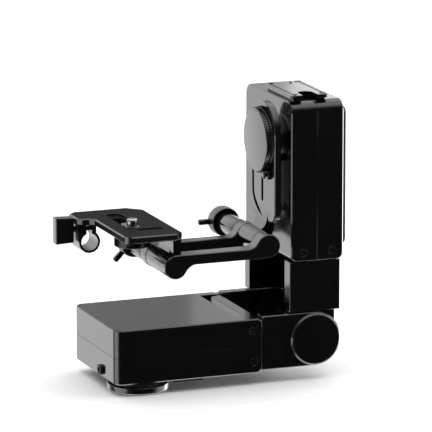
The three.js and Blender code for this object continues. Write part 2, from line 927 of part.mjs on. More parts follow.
const columnTop = caseBottom - seatGap;
const columnWebLeft = columnRight - columnWeb;
const frontKnuckle = [frontEarInner + seatGap, frontEarInner + seatGap + knuckleThickness];
const backKnuckle = [backEarInner - seatGap - knuckleThickness, backEarInner - seatGap];

// A knuckle is a disc round the fold hinge that runs up into the web behind it.
function knuckle([from, to]) {
  const shape = new THREE.Shape();
  shape.moveTo(hingeAlong + knuckleRadius, columnBottom + edgeBevel);
  shape.absarc(hingeAlong, hingeAbove, knuckleRadius, 0, -Math.PI * 1.5, true);
  shape.lineTo(columnWebLeft + overrun, hingeAbove + knuckleRadius);
  shape.lineTo(columnWebLeft + overrun, columnBottom + knuckleRadius);
  shape.lineTo(hingeAlong + knuckleRadius, columnBottom + knuckleRadius);
  shape.closePath();
  return drawn(shape, "Y", from, to, 0, curveSteps);
}

function columnChannel() {
  const wallShape = roundedOutline([
    [columnLeft, columnBottom, columnBevel],
    [columnRight, columnBottom, columnBevel],
    [columnRight, columnTop, 0],
    [columnLeft, columnTop, 0],
  ]);
  const front = drawn(wallShape, "Y", earFront, frontEarInner, edgeBevel / 2);
  const back = drawn(wallShape, "Y", backEarInner, earBack, edgeBevel / 2);
  const web = box(
    columnWebLeft, columnRight, frontEarInner - overrun, backEarInner + overrun, columnBottom, columnTop,
  );
  const lowWeb = box(
    columnWebLeft, columnRight, frontKnuckle[0], backKnuckle[1], hingeAbove, columnBottom + overrun,
  );
  const earSpans = [[earFront - overrun, frontKnuckle[0]], [backKnuckle[1], earBack + overrun]];
  const earRoom = earSpans.map(([from, to]) => {
    return rod("Y", hingeAlong, hingeAbove, earRadius + seatGap, from, to, fine);
  });
  const bore = rod("Y", hingeAlong, hingeAbove, hingePinRadius + runGap, earFront, earBack, fine);
  const body = joined(front, back, web, lowWeb, knuckle(frontKnuckle), knuckle(backKnuckle));
  return cut(body, ...earRoom, bore);
}

// Case of the tilt drive

function caseBlock(inset) {
  const end = roundedOutline([
    [caseFront + inset, caseBottom + inset, inset],
    [caseBack - inset, caseBottom + inset, inset],
    [caseBack - inset, caseTop - inset, caseTopCorner - inset],
    [caseFront + inset, caseTop - inset, caseTopCorner - inset],
  ]);
  const side = roundedOutline([
    [caseLeft + inset, caseBottom + inset, caseBottomCorner - inset],
    [caseRight - inset, caseBottom + inset, caseBottomCorner - inset],
    [caseRight - inset, caseTop + overrun, 0],
    [caseLeft + inset, caseTop + overrun, 0],
  ]);
  const bevel = inset > 0 ? 0 : edgeBevel;
  const body = drawn(end, "X", caseLeft + inset, caseRight - inset, bevel);
  return body.intersect(drawn(side, "Y", caseFront - overrun, caseBack + overrun));
}

function caseScrewPlaces() {
  const z = caseBottom + caseScrewAbove;
  const places = [];
  for (const [side, face, outward] of [["front", caseFront, -1], ["back", caseBack, 1]]) {
    places.push([side + "_inner", caseLeft + caseScrewInset, z, face, outward]);
    places.push([side + "_outer", caseRight - caseScrewInset, z, face, outward]);
  }
  return places;
}

const tiltBearingRadius = hubShaftRadius + tiltBearingThickness;
const tiltBearingBack = caseLeft + caseWall + tiltBearingThickness;
const tiltGearLeft = caseLeft + tiltGearOffset;
const tiltDriveX = tiltGearLeft + tiltGearThickness / 2;
const tiltMotorY = tiltGearRadius + seatGap + wormRadius;
const tiltWormBottom = tiltAbove - wormLength / 2;
const tiltMotorTop = tiltWormBottom - 3 * wormShaftRadius;
const tiltMotorBottom = tiltMotorTop - tiltMotorLength;

function caseShell() {
  const recesses = caseScrewPlaces().map(([, x, z, face, outward]) => {
    return screwRecess("Y", x, z, face, outward);
  });
  return cut(joined(cut(caseBlock(0), caseBlock(caseWall)), caseScrewPosts()), ...recesses);
}

// Posts inside the lower corners that the case screws run into.
function caseScrewPosts() {
  const radius = screwRecessRadius + edgeBevel;
  const reach = screwRecessDepth + screwShankLength + caseWall;
  const posts = caseScrewPlaces().map(([, x, z, face, outward]) => {
    const [from, to] = [face - outward * caseWall / 2, face - outward * reach].sort((a, b) => a - b);
    return rod("Y", x, z, radius, from, to, coarse);
  });
  return joined(...posts);
}

function caseInnerShell() {
  const far = caseSeam - seatGap / 2;
  const inside = caseLeft + caseWall;
  const keep = box(
    caseLeft - overrun, far, caseFront - overrun, caseBack + overrun, caseBottom - overrun,
    caseTop + overrun,
  );
  const boss = rod(
    "X", 0, tiltAbove, tiltBearingRadius + seatGap + bearingWall, inside - overrun, tiltBearingBack,
    fine,
  );
  const seat = rod("X", 0, tiltAbove, tiltBearingRadius + seatGap, inside, tiltBearingBack + overrun, fine);
  const hole = rod("X", 0, tiltAbove, hubShaftRadius + seatGap, caseLeft - overrun, inside + overrun, fine);
  const ribs = [tiltMotorBottom + cradleWidth, tiltMotorTop - 2 * cradleWidth].map((z) => {
    const aside = tiltMotorRadius + caseWall;
    return box(
      inside - overrun, tiltDriveX - overrun, tiltMotorY - aside, tiltMotorY + aside, z, z + cradleWidth,
    );
  });
  const room = rod(
    "Z", tiltDriveX, tiltMotorY, tiltMotorRadius + seatGap, tiltMotorBottom - seatGap, tiltMotorTop,
  );
  return cut(joined(caseShell().intersect(keep), boss, ...ribs), seat, hole, room);
}

const tiltBoardFace = caseRight - caseWall - boardPostHeight - seatGap;

function caseOuterShell() {
  const near = caseSeam + seatGap / 2;
  const keep = box(
    near, caseRight + overrun, caseFront - overrun, caseBack + overrun, caseBottom - overrun,
    caseTop + overrun,
  );
  const inset = boardPostInset;
  const posts = [];
  for (const y of [tiltBoardFront + inset, tiltBoardBack - inset]) {
    for (const z of [tiltBoardLow + inset, tiltBoardHigh - inset]) {
      posts.push(
        rod("X", y, z, boardPostRadius, tiltBoardFace + seatGap, caseRight - caseWall / 2, coarse),
      );
    }
  }
  return joined(caseShell().intersect(keep), ...posts);
}

function tiltBearing() {
  const left = caseLeft + caseWall + seatGap;
  return ring("X", 0, tiltAbove, hubShaftRadius + runGap, tiltBearingRadius, left, tiltBearingBack, fine);
}

function tiltWorm() {
  return worm(
    "Z", tiltDriveX, tiltMotorY, tiltWormBottom + wormLength, tiltWormBottom, tiltMotorTop + seatGap,
  );
}

function tiltMotor() {
  return motor("Z", tiltDriveX, tiltMotorY, tiltMotorRadius, tiltMotorBottom, tiltMotorTop);
}

function tiltCircuitBoard() {
  return circuitBoard("X", tiltBoardFront, tiltBoardBack, tiltBoardLow, tiltBoardHigh, tiltBoardFace, -1);
}

// Tilt hub with its shaft, and what turns with it

function tiltHub() {
  const shaftEnd = caseLeft + hubShaftLength;
  const screwEnd = knobLeft + knobThickness / 2;
  const profile = [
    [0, screwEnd],
    [clampScrewRadius, screwEnd],
    [clampScrewRadius, hubLeft],
    [hubRadius - edgeBevel, hubLeft],
    [hubRadius, hubLeft + edgeBevel],
    [hubRadius, hubRight],
    [hubShaftRadius, hubRight],
    [hubShaftRadius, shaftEnd],
    [0, shaftEnd],
  ];
  return turned("X", 0, tiltAbove, profile, fine);
}

function tiltGear() {
  const shape = toothedShape(0, tiltAbove, tiltGearRadius, gearToothDepth, tiltGearTeeth);
  shape.holes.push(new THREE.Path().absarc(0, tiltAbove, hubShaftRadius + seatGap, 0, 2 * Math.PI, true));
  return drawn(shape, "X", tiltGearLeft, tiltGearLeft + tiltGearThickness, 0, fine / 2);
}

// The smooth flange under the knob, with a lug that guides the slide lock button.
function knobFlange() {
  const disc = rod("X", 0, tiltAbove, flangeRadius, flangeLeft, flangeRight, fine);
  const lugRadius = buttonRadius + buttonLugWall;
  const lug = rod("X", buttonAside, tiltAbove - buttonBelow, lugRadius, flangeLeft, flangeRight, coarse);
  const bore = rod(
    "X", 0, tiltAbove, clampScrewRadius + seatGap, flangeLeft - overrun, flangeRight + overrun,
  );
  const buttonBore = rod(
    "X", buttonAside, tiltAbove - buttonBelow, buttonRadius / 2 + runGap * 2, flangeLeft - overrun,
    flangeRight + overrun,
    coarse,
  );
  return cut(joined(disc, lug), bore, buttonBore);
}

function tiltKnob() {
  const rim = toothedShape(0, tiltAbove, knobRadius, knobToothDepth, knobTeeth);
  const body = drawn(rim, "X", knobLeft, knobRight);
  const bore = rod(
    "X", 0, tiltAbove, clampScrewRadius + seatGap, knobLeft + knobThickness / 4, knobRight + overrun,
  );
  return cut(body, bore);
}

// The lock button: a domed head on a short stem through the lug of the flange.
function slideLockButton() {
  const headRight = flangeLeft - seatGap - buttonTravel;
  const headLeft = headRight - buttonLength / 2;
  const profile = [
    [0, headLeft],
    [buttonRadius - edgeBevel, headLeft],
    [buttonRadius, headLeft + edgeBevel],
    [buttonRadius, headRight],
    [buttonRadius / 2, headRight],
    [buttonRadius / 2, flangeRight - buttonTravel - seatGap],
    [0, flangeRight - buttonTravel - seatGap],
  ];
  return turned("X", buttonAside, tiltAbove - buttonBelow, profile, coarse);
}

// Tilt bar

function barOutline() {
  const shape = new THREE.Shape();
  shape.moveTo(-barHalfWidth + barCorner, barBottom);
  shape.lineTo(barHalfWidth - barBackCorner, barBottom);
  shape.absarc(
    barHalfWidth - barBackCorner, barBottom + barBackCorner, barBackCorner, -Math.PI / 2, 0, false,
  );
  shape.lineTo(barHalfWidth, barTopCentre);
  shape.absarc(0, barTopCentre, barHalfWidth, 0, Math.PI, false);
  shape.lineTo(-barHalfWidth, barBottom + barCorner);
  shape.absarc(-barHalfWidth + barCorner, barBottom + barCorner, barCorner, Math.PI, Math.PI * 1.5, false);
  shape.closePath();
  return shape;
}

// The curved guide slot: straight beside the middle slot, then bending in under it.
function curvedSlot() {
  const half = curvedSlotWidth / 2;
  const bend = new THREE.CubicBezierCurve(
    new THREE.Vector2(curvedSlotAside, curvedSlotBend),
    new THREE.Vector2(curvedSlotAside, (curvedSlotBend + curvedSlotEnd) / 2),
    new THREE.Vector2((curvedSlotAside + curvedSlotEndAside) / 2, curvedSlotEnd + curvedSlotWidth),
    new THREE.Vector2(curvedSlotEndAside, curvedSlotEnd),
  );
  const steps = curveSteps;
  const outer = [];
  const inner = [];
  for (let i = 0; i <= steps; i++) {
    const point = bend.getPoint(i / steps);
    const along = bend.getTangent(i / steps);
    const taper = 1 - (i / steps) ** 2;
    outer.push(new THREE.Vector2(point.x - along.y * half * taper, point.y + along.x * half * taper));
    inner.push(new THREE.Vector2(point.x + along.y * half * taper, point.y - along.x * half * taper));
  }
  inner.pop();
  const shape = new THREE.Shape([
    new THREE.Vector2(curvedSlotAside - half, curvedSlotTop),
    ...inner,
    ...outer.reverse(),
    new THREE.Vector2(curvedSlotAside + half, curvedSlotTop),
  ]);
  return shape;
}

// The neck flows from the foot of the bar down onto the hub between the arms.
function neckShape() {
  const rise = (barBottom - rightPivotZ) / 2;
  const shape = new THREE.Shape();
  shape.moveTo(barLeft, barBottom + rise);
  shape.quadraticCurveTo(
    barLeft, rightPivotZ + middleHubRadius, rightPivotX, rightPivotZ + middleHubRadius - edgeBevel,
  );
  shape.lineTo(rightPivotX, rightPivotZ);
  shape.lineTo(rightPivotX + middleHubRadius - edgeBevel, rightPivotZ);
  shape.quadraticCurveTo(barRight, rightPivotZ + middleHubRadius / 2, barRight, barBottom);
  shape.lineTo(barRight, barBottom + rise);
  shape.closePath();
  return shape;
}

function tiltBar() {
  const plate = drawn(barOutline(), "X", barLeft, barRight, edgeBevel, curveSteps);
  const hub = rod(
    "Y", rightPivotX, rightPivotZ, middleHubRadius, frontArmBack + seatGap, rearArmFront - seatGap,
  );
  const neck = drawn(neckShape(), "Y", neckFront, rearArmFront - seatGap, 0, curveSteps);
  const middleSlot = slotCutter(
    slotShape(0, slotBottom, slotTop, slotWidth), "X", barLeft - overrun, barRight + overrun,
  );
  const guide = drawn(curvedSlot(), "X", barLeft - overrun, barLeft + barThickness / 2);
  const bore = rod("Y", rightPivotX, rightPivotZ, pivotPinRadius + runGap, frontArmBack, rearArmFront);
  const groove = ring(
    "Y", rightPivotX, rightPivotZ, middleHubRadius - grooveDepth, middleHubRadius + overrun,
    frontArmBack + grooveSet, frontArmBack + grooveSet + grooveWidth,
  );
  const neckGuard = box(rightPivotX, barRight, neckFront, rearArmFront, rightPivotZ, barBottom);
  return cut(joined(plate, hub, neck), middleSlot, guide, bore, cut(groove, neckGuard));
}

// Arms: each is one bar with a boss under its left end and a boss over its right end

function armShape() {
  const drop = leftPivotZ - (armBottom - bossFillet);
  const lean = Math.asin(drop / (bossRadius + bossFillet));
  const reach = (bossRadius + bossFillet) * Math.cos(lean);
  const quarter = Math.PI / 2;
  const shape = new THREE.Shape();
  shape.moveTo(leftPivotX, armTop);
  shape.absarc(leftPivotX, leftPivotZ, bossRadius, quarter, 4 * quarter - lean, false);
  shape.absarc(leftPivotX + reach, armBottom - bossFillet, bossFillet, 2 * quarter - lean, quarter, true);
  shape.lineTo(rightPivotX, armBottom);
  shape.absarc(rightPivotX, rightPivotZ, bossRadius, -quarter, 2 * quarter - lean, false);
  shape.absarc(rightPivotX - reach, armTop + bossFillet, bossFillet, -lean, -quarter, true);
  shape.closePath();
  return shape;
}

function arm(from, to, boreFrom, boreTo) {
  const body = drawn(armShape(), "Y", from, to, armBevel, curveSteps);
  const bores = pivots().map(([x, z]) => rod("Y", x, z, pivotPinRadius + runGap, boreFrom, boreTo));
  return cut(body, ...bores);
}

function pivots() {
  return [[rightPivotX, rightPivotZ], [leftPivotX, leftPivotZ]];
}

function pivotPin([x, z]) {
  return rod("Y", x, z, pivotPinRadius, pinFront, lockRingBack - seatGap);
}

// A sleeve behind the rear arm, with two fine grooves near its front end.
function sleeve([x, z]) {
  const front = rearArmBack + seatGap;
  const first = front + grooveSet;
  const second = first + grooveSet;
  const inner = pivotPinRadius + runGap;
  const profile = [[inner, front], [sleeveRadius, front]];
  for (const start of [first, second]) {
    profile.push([sleeveRadius, start], [sleeveRadius - grooveDepth, start]);
    profile.push([sleeveRadius - grooveDepth, start + grooveWidth], [sleeveRadius, start + grooveWidth]);
  }
  profile.push([sleeveRadius, sleeveBack], [inner, sleeveBack], [inner, front]);
  return turned("Y", x, z, profile);
}

// A lock ring is a knurled cup round the end of the sleeve, with a square lever peg.
function lockRing([x, z], pegAngle) {
  const rim = drawn(
    toothedShape(x, z, lockRingRadius, lockRingToothDepth, lockRingTeeth), "Y", lockRingFront, lockRingBack,
  );
  const cupBack = sleeveBack + seatGap;
  const cup = rod("Y", x, z, lockRingRadius - lockRingWall, lockRingFront - overrun, cupBack);
  const bore = rod("Y", x, z, pivotPinRadius + runGap, lockRingFront, lockRingBack + overrun);
  const middle = (cupBack + lockRingBack) / 2;
  const half = pegSize / 2;
  const start = lockRingRadius - lockRingWall;
  const peg = box(start, lockRingRadius + pegReach, -half, half, -half, half);
  const placed = peg.rotate([0, -pegAngle, 0]).translate([x, middle, z]);
  return joined(cut(rim, cup, bore), placed);
}

// Head bracket: a hub between the arms and a block that carries the camera plate

function headBracket() {
  const front = frontArmBack + seatGap;
  const hub = rod("Y", leftPivotX, leftPivotZ, middleHubRadius, front, rearArmFront - seatGap);
  const top = plateBottom - seatGap;
  const block = box(blockLeft, blockRight, blockFront, blockBack, armTop + seatGap, top);
  const footTop = leftPivotZ + middleHubRadius;
  const web = new THREE.Shape();
  web.moveTo(leftPivotX - middleHubRadius / 2, leftPivotZ);
  web.quadraticCurveTo(blockLeft, footTop, blockLeft, footTop + middleHubRadius / 2);
  web.lineTo(blockRight, footTop + middleHubRadius / 2);
  web.quadraticCurveTo(blockRight, footTop, leftPivotX + middleHubRadius - edgeBevel, leftPivotZ);
  web.closePath();
  const foot = drawn(web, "Y", front, blockBack, 0, curveSteps);
  const bore = rod("Y", leftPivotX, leftPivotZ, pivotPinRadius + runGap, frontArmBack, rearArmFront);
  const groove = ring(
    "Y", leftPivotX, leftPivotZ, middleHubRadius - grooveDepth, middleHubRadius + overrun,
    rearArmFront - seatGap - grooveSet, rearArmFront - seatGap - grooveSet + grooveWidth,
  );
  return cut(joined(hub, block, foot), bore, groove);
}

function plateOutline() {
  const chamfer = plateCorner * 1.5;
  return roundedOutline([
    [plateLeft, plateFront, plateCorner],
    [plateRight - chamfer, plateFront, plateCorner / 2],
    [plateRight, plateFront + chamfer, plateCorner / 2],
    [plateRight, plateBack - 2 * chamfer, plateCorner],
    [plateRight - 2 * chamfer, plateBack, plateCorner],
    [tongueLeft + chamfer, plateBack, plateCorner / 2],
    [tongueLeft, plateBack - chamfer, plateCorner / 2],
    [tongueLeft, tongueFront + plateCorner, plateCorner / 2],
    [tongueLeft + plateCorner, tongueFront, plateCorner / 2],
    [plateLeft - plateCorner, tongueFront, plateCorner / 2],
    [plateLeft, tongueFront - plateCorner, plateCorner / 2],
  ]);
}

function cameraPlate() {
  const body = drawn(plateOutline(), "Z", plateBottom, plateTop, plateBevel);
  const slot = slotCutter(
    slotShape(studX, plateSlotFront, plateSlotBack, plateSlotWidth), "Z", plateBottom - overrun, plateTop,
  );
  const side = (plateStepWidth - plateSlotWidth) / 2;
  const step = slotShape(studX, plateSlotFront - side, plateSlotBack + side, plateStepWidth);
  const stepped = slotCutter(step, "Z", plateTop - plateStepDepth, plateTop + overrun);
  const recess = levelSlotShape(recessAlong, recessLeft, recessRight, recessWidth);
  const recessed = slotCutter(recess, "Z", plateTop - recessDepth, plateTop + overrun);
  const holeX = recessRight - recessHoleInset;
  const hole = rod("Z", holeX, recessAlong, recessHoleRadius, plateBottom - overrun, plateTop, coarse);
  return cut(body, slot, stepped, recessed, hole);
}

// The carriage is a washer with two flat flanks that slides in the step of the slot.
function studCarriage() {
  const floor = plateTop - plateStepDepth + seatGap;
  const half = plateStepWidth / 2 - seatGap;
  const disc = rod("Z", studX, 0, half, floor, floor + carriageThickness);
  const bore = rod(
    "Z", studX, 0, studRadius + runGap, floor - overrun, floor + carriageThickness + overrun,
  );
  return cut(disc, bore);
}

function cameraStud() {
  const top = plateTop + studRise;
  const profile = [
    [0, wheelBottom + wheelThickness / 4 + seatGap],
    [studRadius, wheelBottom + wheelThickness / 4 + seatGap],
    [studRadius, top - studDome],
    [studRadius - studDome / 3, top - studDome / 2],
    [studRadius - studDome, top],
    [0, top],
  ];
  return turned("Z", studX, 0, profile);
}

function studWheel() {
  const rim = drawn(
    toothedShape(studX, 0, wheelRadius, wheelToothDepth, wheelTeeth), "Z", wheelBottom, wheelTop,
  );
  const hub = rod("Z", studX, 0, wheelHubRadius, wheelTop - overrun, plateBottom - seatGap);
  const bore = rod("Z", studX, 0, studRadius + seatGap, wheelBottom + wheelThickness / 4, plateBottom);
  return cut(joined(rim, hub), bore);
}

// Rod clamp: a split ring with a jaw on each side of the slit
function rodClamp() {
  const top = plateBottom - seatGap;
  const body = rod("Y", rodX, rodZ, rodOuterRadius, rodFront, rodBack, medium);
  const leftJaw = box(rodX - rodOuterRadius, slitLeft, rodFront, rodBack, rodZ, top);
  const jaw = box(slitRight, rightJaw, rodFront, rodBack, rodZ, top);
  const bore = rod("Y", rodX, rodZ, rodBoreRadius, rodFront - overrun, rodBack + overrun, medium);
  const slit = box(slitLeft, slitRight, rodFront - overrun, rodBack + overrun, rodZ, top + overrun);
  const screwY = (rodFront + rodBack) / 2;
  const screwEnd = rightJaw - 2 * seatGap;
  const hole = rod(
    "X", screwY, keyZ, keyScrewRadius + runGap, rodX - rodOuterRadius - overrun, screwEnd, medium,
  );
  return cut(joined(body, leftJaw, jaw), bore, slit, hole);
}

// The paddle key: a flared blade, a neck and the clamp screw
function rodClampKey() {
  const neckRight = rodX - rodOuterRadius - seatGap;
  const neckLeft = neckRight - keyNeckLength;
  const left = neckLeft - keyLength;
  const blade = roundedOutline([
    [neckLeft, keyZ - keyInnerHeight / 2, keyCorner],
    [neckLeft, keyZ + keyInnerHeight / 2, keyCorner],
    [left, keyZ + keyOuterHeight / 2, keyCorner],
    [left, keyZ - keyOuterHeight / 2, keyCorner],
  ]);
  const middle = (rodFront + rodBack) / 2;
  const paddle = drawn(blade, "Y", middle - keyThickness / 2, middle + keyThickness / 2, edgeBevel);
  const neck = rod("X", middle, keyZ, keyNeckRadius, neckLeft - overrun, neckRight, coarse);
  const screw = rod("X", middle, keyZ, keyScrewRadius, neckLeft, rightJaw - 4 * seatGap, medium);
  return joined(paddle, neck, screw);
}

// Battery plate: a wedge channel with undercut sides, open at the top

const batteryPlateLeft = caseRight + seatGap;
const batteryPlateRight = batteryPlateLeft + batteryPlateThickness;
const batteryPlateMiddle = (batteryPlateFront + batteryPlateBack) / 2;

function wedgeShape(grow) {
  const top = batteryPlateTop + overrun;
  const bottom = batteryPlateTop - wedgeHeight - grow;
  const widen = grow + ((wedgeTopWidth - wedgeBottomWidth) / 2) * (overrun / wedgeHeight);
  const upper = wedgeTopWidth / 2 + widen;
  const lower = wedgeBottomWidth / 2 + grow;
  const shape = new THREE.Shape();
  shape.moveTo(batteryPlateMiddle - lower, bottom);
  shape.lineTo(batteryPlateMiddle + lower, bottom);
  shape.lineTo(batteryPlateMiddle + upper, top);
  shape.lineTo(batteryPlateMiddle - upper, top);
  shape.closePath();
  return shape;
}

const wedgeEnd = batteryPlateTop - wedgeHeight;
const contactTop = (batteryPlateBottom + wedgeEnd) / 2 + contactHeight;
const wedgeFloor = batteryPlateRight - wedgeDepth;

function batteryPlate() {
  const outline = roundedRectangle(
    batteryPlateFront, batteryPlateBack, batteryPlateBottom, batteryPlateTop, batteryPlateCorner,
  );
  const body = drawn(outline, "X", batteryPlateLeft, batteryPlateRight, edgeBevel);
  const mouth = drawn(wedgeShape(0), "X", wedgeFloor, batteryPlateRight + overrun);
  const undercut = drawn(wedgeShape(wedgeUndercut), "X", wedgeFloor, batteryPlateRight - wedgeLip);
  const half = contactWidth / 2 + seatGap;
  const contactRoom = box(
    wedgeFloor, batteryPlateRight + overrun, batteryPlateMiddle - half, batteryPlateMiddle + half,
    contactTop - contactHeight - seatGap, contactTop + seatGap,
  );
  const buttonHalf = releaseSize / 2 + seatGap;
  const z = batteryPlateBottom + releaseAbove;
  const buttonY = batteryPlateBack - releaseSize;
  const buttonRoom = box(
    batteryPlateLeft + releaseStep, batteryPlateRight + overrun, buttonY - buttonHalf, buttonY + buttonHalf,
    z - buttonHalf, z + buttonHalf,
  );
  return cut(body, mouth, undercut, contactRoom, buttonRoom);
}

function batteryContacts() {
  const left = wedgeFloor + seatGap;
  const right = left + contactThickness;
  const bottom = contactTop - contactHeight;
  const half = contactWidth / 2;
  const body = box(left, right, batteryPlateMiddle - half, batteryPlateMiddle + half, bottom, contactTop);
  const pitch = contactWidth / contactSlots;
  const slots = [];
  for (let i = 0; i < contactSlots; i++) {
    const middle = batteryPlateMiddle - half + pitch * (i + 0.5);
    const reach = (pitch * contactSlotShare) / 2;
    const low = bottom + contactHeight / 4;
    slots.push(
      box(
        right - contactSlotDepth, right + overrun, middle - reach, middle + reach, low,
        contactTop + overrun,
      ),
    );
  }
  return cut(body, ...slots);
}

function batteryReleaseButton() {
  const half = releaseSize / 2;
  const z = batteryPlateBottom + releaseAbove;
  const y = batteryPlateBack - releaseSize;
  const left = batteryPlateLeft + releaseStep + releaseHeight / 4;
  const outline = roundedRectangle(y - half, y + half, z - half, z + half, edgeBevel * 2);
  return drawn(outline, "X", left, batteryPlateRight + releaseStep, edgeBevel / 2);
}

// Accessory rail: side rails along Y, open slots at both ends, over a narrower foot
function railPlate() {
  const top = railBottom + railThickness;
  const shoulder = railBottom + railFootHeight;
  const middle = (railLeft + railRight) / 2;
  const upper = drawn(
    roundedRectangle(railLeft, railRight, railFront, railBack, railCorner), "Z", shoulder, top,
    edgeBevel / 2,
  );
  const foot = box(
    railLeft + railFootInset, railRight - railFootInset, railFront + railFootInset, railBack - railFootInset,
    railBottom, shoulder + overrun,
  );
  const low = railBottom - overrun;
  const high = top + overrun;
  const frontSlot = slotShape(
    middle, railFront - railSlotWidth, railFront + railSlotFrontDepth, railSlotWidth,
  );
  const backSlot = slotShape(middle, railBack - railSlotBackDepth, railBack + railSlotWidth, railSlotWidth);
  const grooves = [railLeft + railGrooveInset, railRight - railGrooveInset].map((x) => {
    return box(
      x - railGrooveWidth / 2, x + railGrooveWidth / 2, railFront, railBack, top - railGrooveDepth, high,
    );
  });
  const holes = railScrewPlaces().map(([x, y]) => {
    return rod("Z", x, y, screwShankRadius + runGap, low, high, coarse);
  });
  const heads = railScrewPlaces().map(([x, y]) => {
    return rod("Z", x, y, screwHeadRadius + seatGap, top - screwRecessDepth, high, coarse);
  });
  const body = joined(upper, foot);
  return cut(
    body, slotCutter(frontSlot, "Z", low, high), slotCutter(backSlot, "Z", low, high), ...grooves,
    ...holes, ...heads,
  );
}

function railScrewPlaces() {
  const places = [];
  for (const x of [railLeft + railScrewInset, railRight - railScrewInset]) {
    for (const y of [railFront + railScrewInset, railBack - railScrewInset]) places.push([x, y]);
  }
  return places;
}

// The assembly, one group for each body that moves

function group(...items) {
  const body = new THREE.Group();
  body.add(...items);
  return body;
}

const base = group(
  piece("base_disc", baseDisc(), "cover"),
  piece("base_ring", baseRing(), "plastic"),
  piece("pan_spindle", panSpindle(), "steel"),
  piece("pan_gear", panGear(), "brass"),
  piece("spindle_nut", spindleNut(), "steel"),
);

const panHead = group(
  piece("pan_shell_lower", panShellLower(), "cover"),
  piece("pan_shell_upper", panShellUpper(), "cover"),
  piece("underside_pad", undersidePad(), "plastic"),
  piece("fork_frame", forkFrame(), "cover"),
  piece("hinge_pin", hingePin(), "steel"),
  piece("hinge_disc_front", hingeDisc(earFront, -1), "cover"),
  piece("hinge_disc_back", hingeDisc(earBack, 1), "cover"),
  piece(
    "pan_motor", motor("Y", panMotorX, panDriveHeight, panMotorRadius, panMotorFront, panMotorBack),
    "motor",
  ),
  piece("pan_bearing", panBearing(), "bearing"),
  piece("pan_circuit_board", panCircuitBoard(), "board"),
  piece("power_socket", powerSocket(), "plastic"),
  ...housingScrewPlaces().map(([label, x, z, face, outward]) => {
    return piece("pan_screw_" + label, socketScrew("Y", x, z, face, outward), "anodised");
  }),
);

const column = group(
  piece("column_channel", columnChannel(), "cover"),
  piece("case_inner_shell", caseInnerShell(), "cover"),
  piece("case_outer_shell", caseOuterShell(), "cover"),
  piece("tilt_bearing", tiltBearing(), "bearing"),
  piece("tilt_motor", tiltMotor(), "motor"),
  piece("tilt_circuit_board", tiltCircuitBoard(), "board"),
  piece("battery_plate", batteryPlate(), "plastic"),
  piece("battery_contacts", batteryContacts(), "plastic"),
  piece("rail_plate", railPlate(), "anodised"),
  ...caseScrewPlaces().map(([label, x, z, face, outward]) => {
    return piece("case_screw_" + label, socketScrew("Y", x, z, face, outward), "anodised");
  }),
);

const tilt = group(
  piece("tilt_hub", tiltHub(), "anodised"),
  piece("tilt_gear", tiltGear(), "brass"),
  piece("knob_flange", knobFlange(), "anodised"),
);

const [rightPivot, leftPivot] = pivots();

const arms = group(
  piece(
    "arm_front", arm(frontArmFront, frontArmBack, pinFront - seatGap, frontArmBack + overrun), "anodised",
  ),
  piece(
    "arm_rear", arm(rearArmFront, rearArmBack, rearArmFront - overrun, rearArmBack + overrun), "anodised",
  ),
  piece("right_pin", pivotPin(rightPivot), "steel"),
  piece("left_pin", pivotPin(leftPivot), "steel"),
  piece("right_sleeve", sleeve(rightPivot), "anodised"),
  piece("left_sleeve", sleeve(leftPivot), "anodised"),
);

const head = group(
  piece("head_bracket", headBracket(), "anodised"),
  piece("camera_plate", cameraPlate(), "matte"),
  piece("rod_clamp", rodClamp(), "anodised"),
);

const rightPegAngle = 180;
const leftPegAngle = 225;

const part = group(
  base,
  panHead,
  column,
  tilt,
  arms,
  head,
  piece("pan_worm", panWorm(), "steel"),
  piece("tilt_worm", tiltWorm(), "steel"),
  piece("battery_release_button", batteryReleaseButton(), "anodised"),
  piece("tilt_knob", tiltKnob(), "anodised"),
  piece("slide_lock_button", slideLockButton(), "anodised"),
  piece("tilt_bar", tiltBar(), "anodised"),
  piece("right_lock_ring", lockRing(rightPivot, rightPegAngle), "anodised"),
  piece("left_lock_ring", lockRing(leftPivot, leftPegAngle), "anodised"),
  piece("stud_carriage", studCarriage(), "steel"),
  piece("camera_stud", cameraStud(), "steel"),
  piece("stud_wheel", studWheel(), "anodised"),
  piece("rod_clamp_key", rodClampKey(), "anodised"),
);

export default part;
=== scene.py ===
# %% [markdown]
# A remote pan and tilt head, dressed in Blender.
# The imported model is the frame: every piece here sits where the solids say and rides on their bodies.
# The order is the camera, the finishes, the pieces, and at the end the floor, the surroundings and the lamps.

import json
import math

import bmesh
import bpy
from mathutils import Matrix, Vector


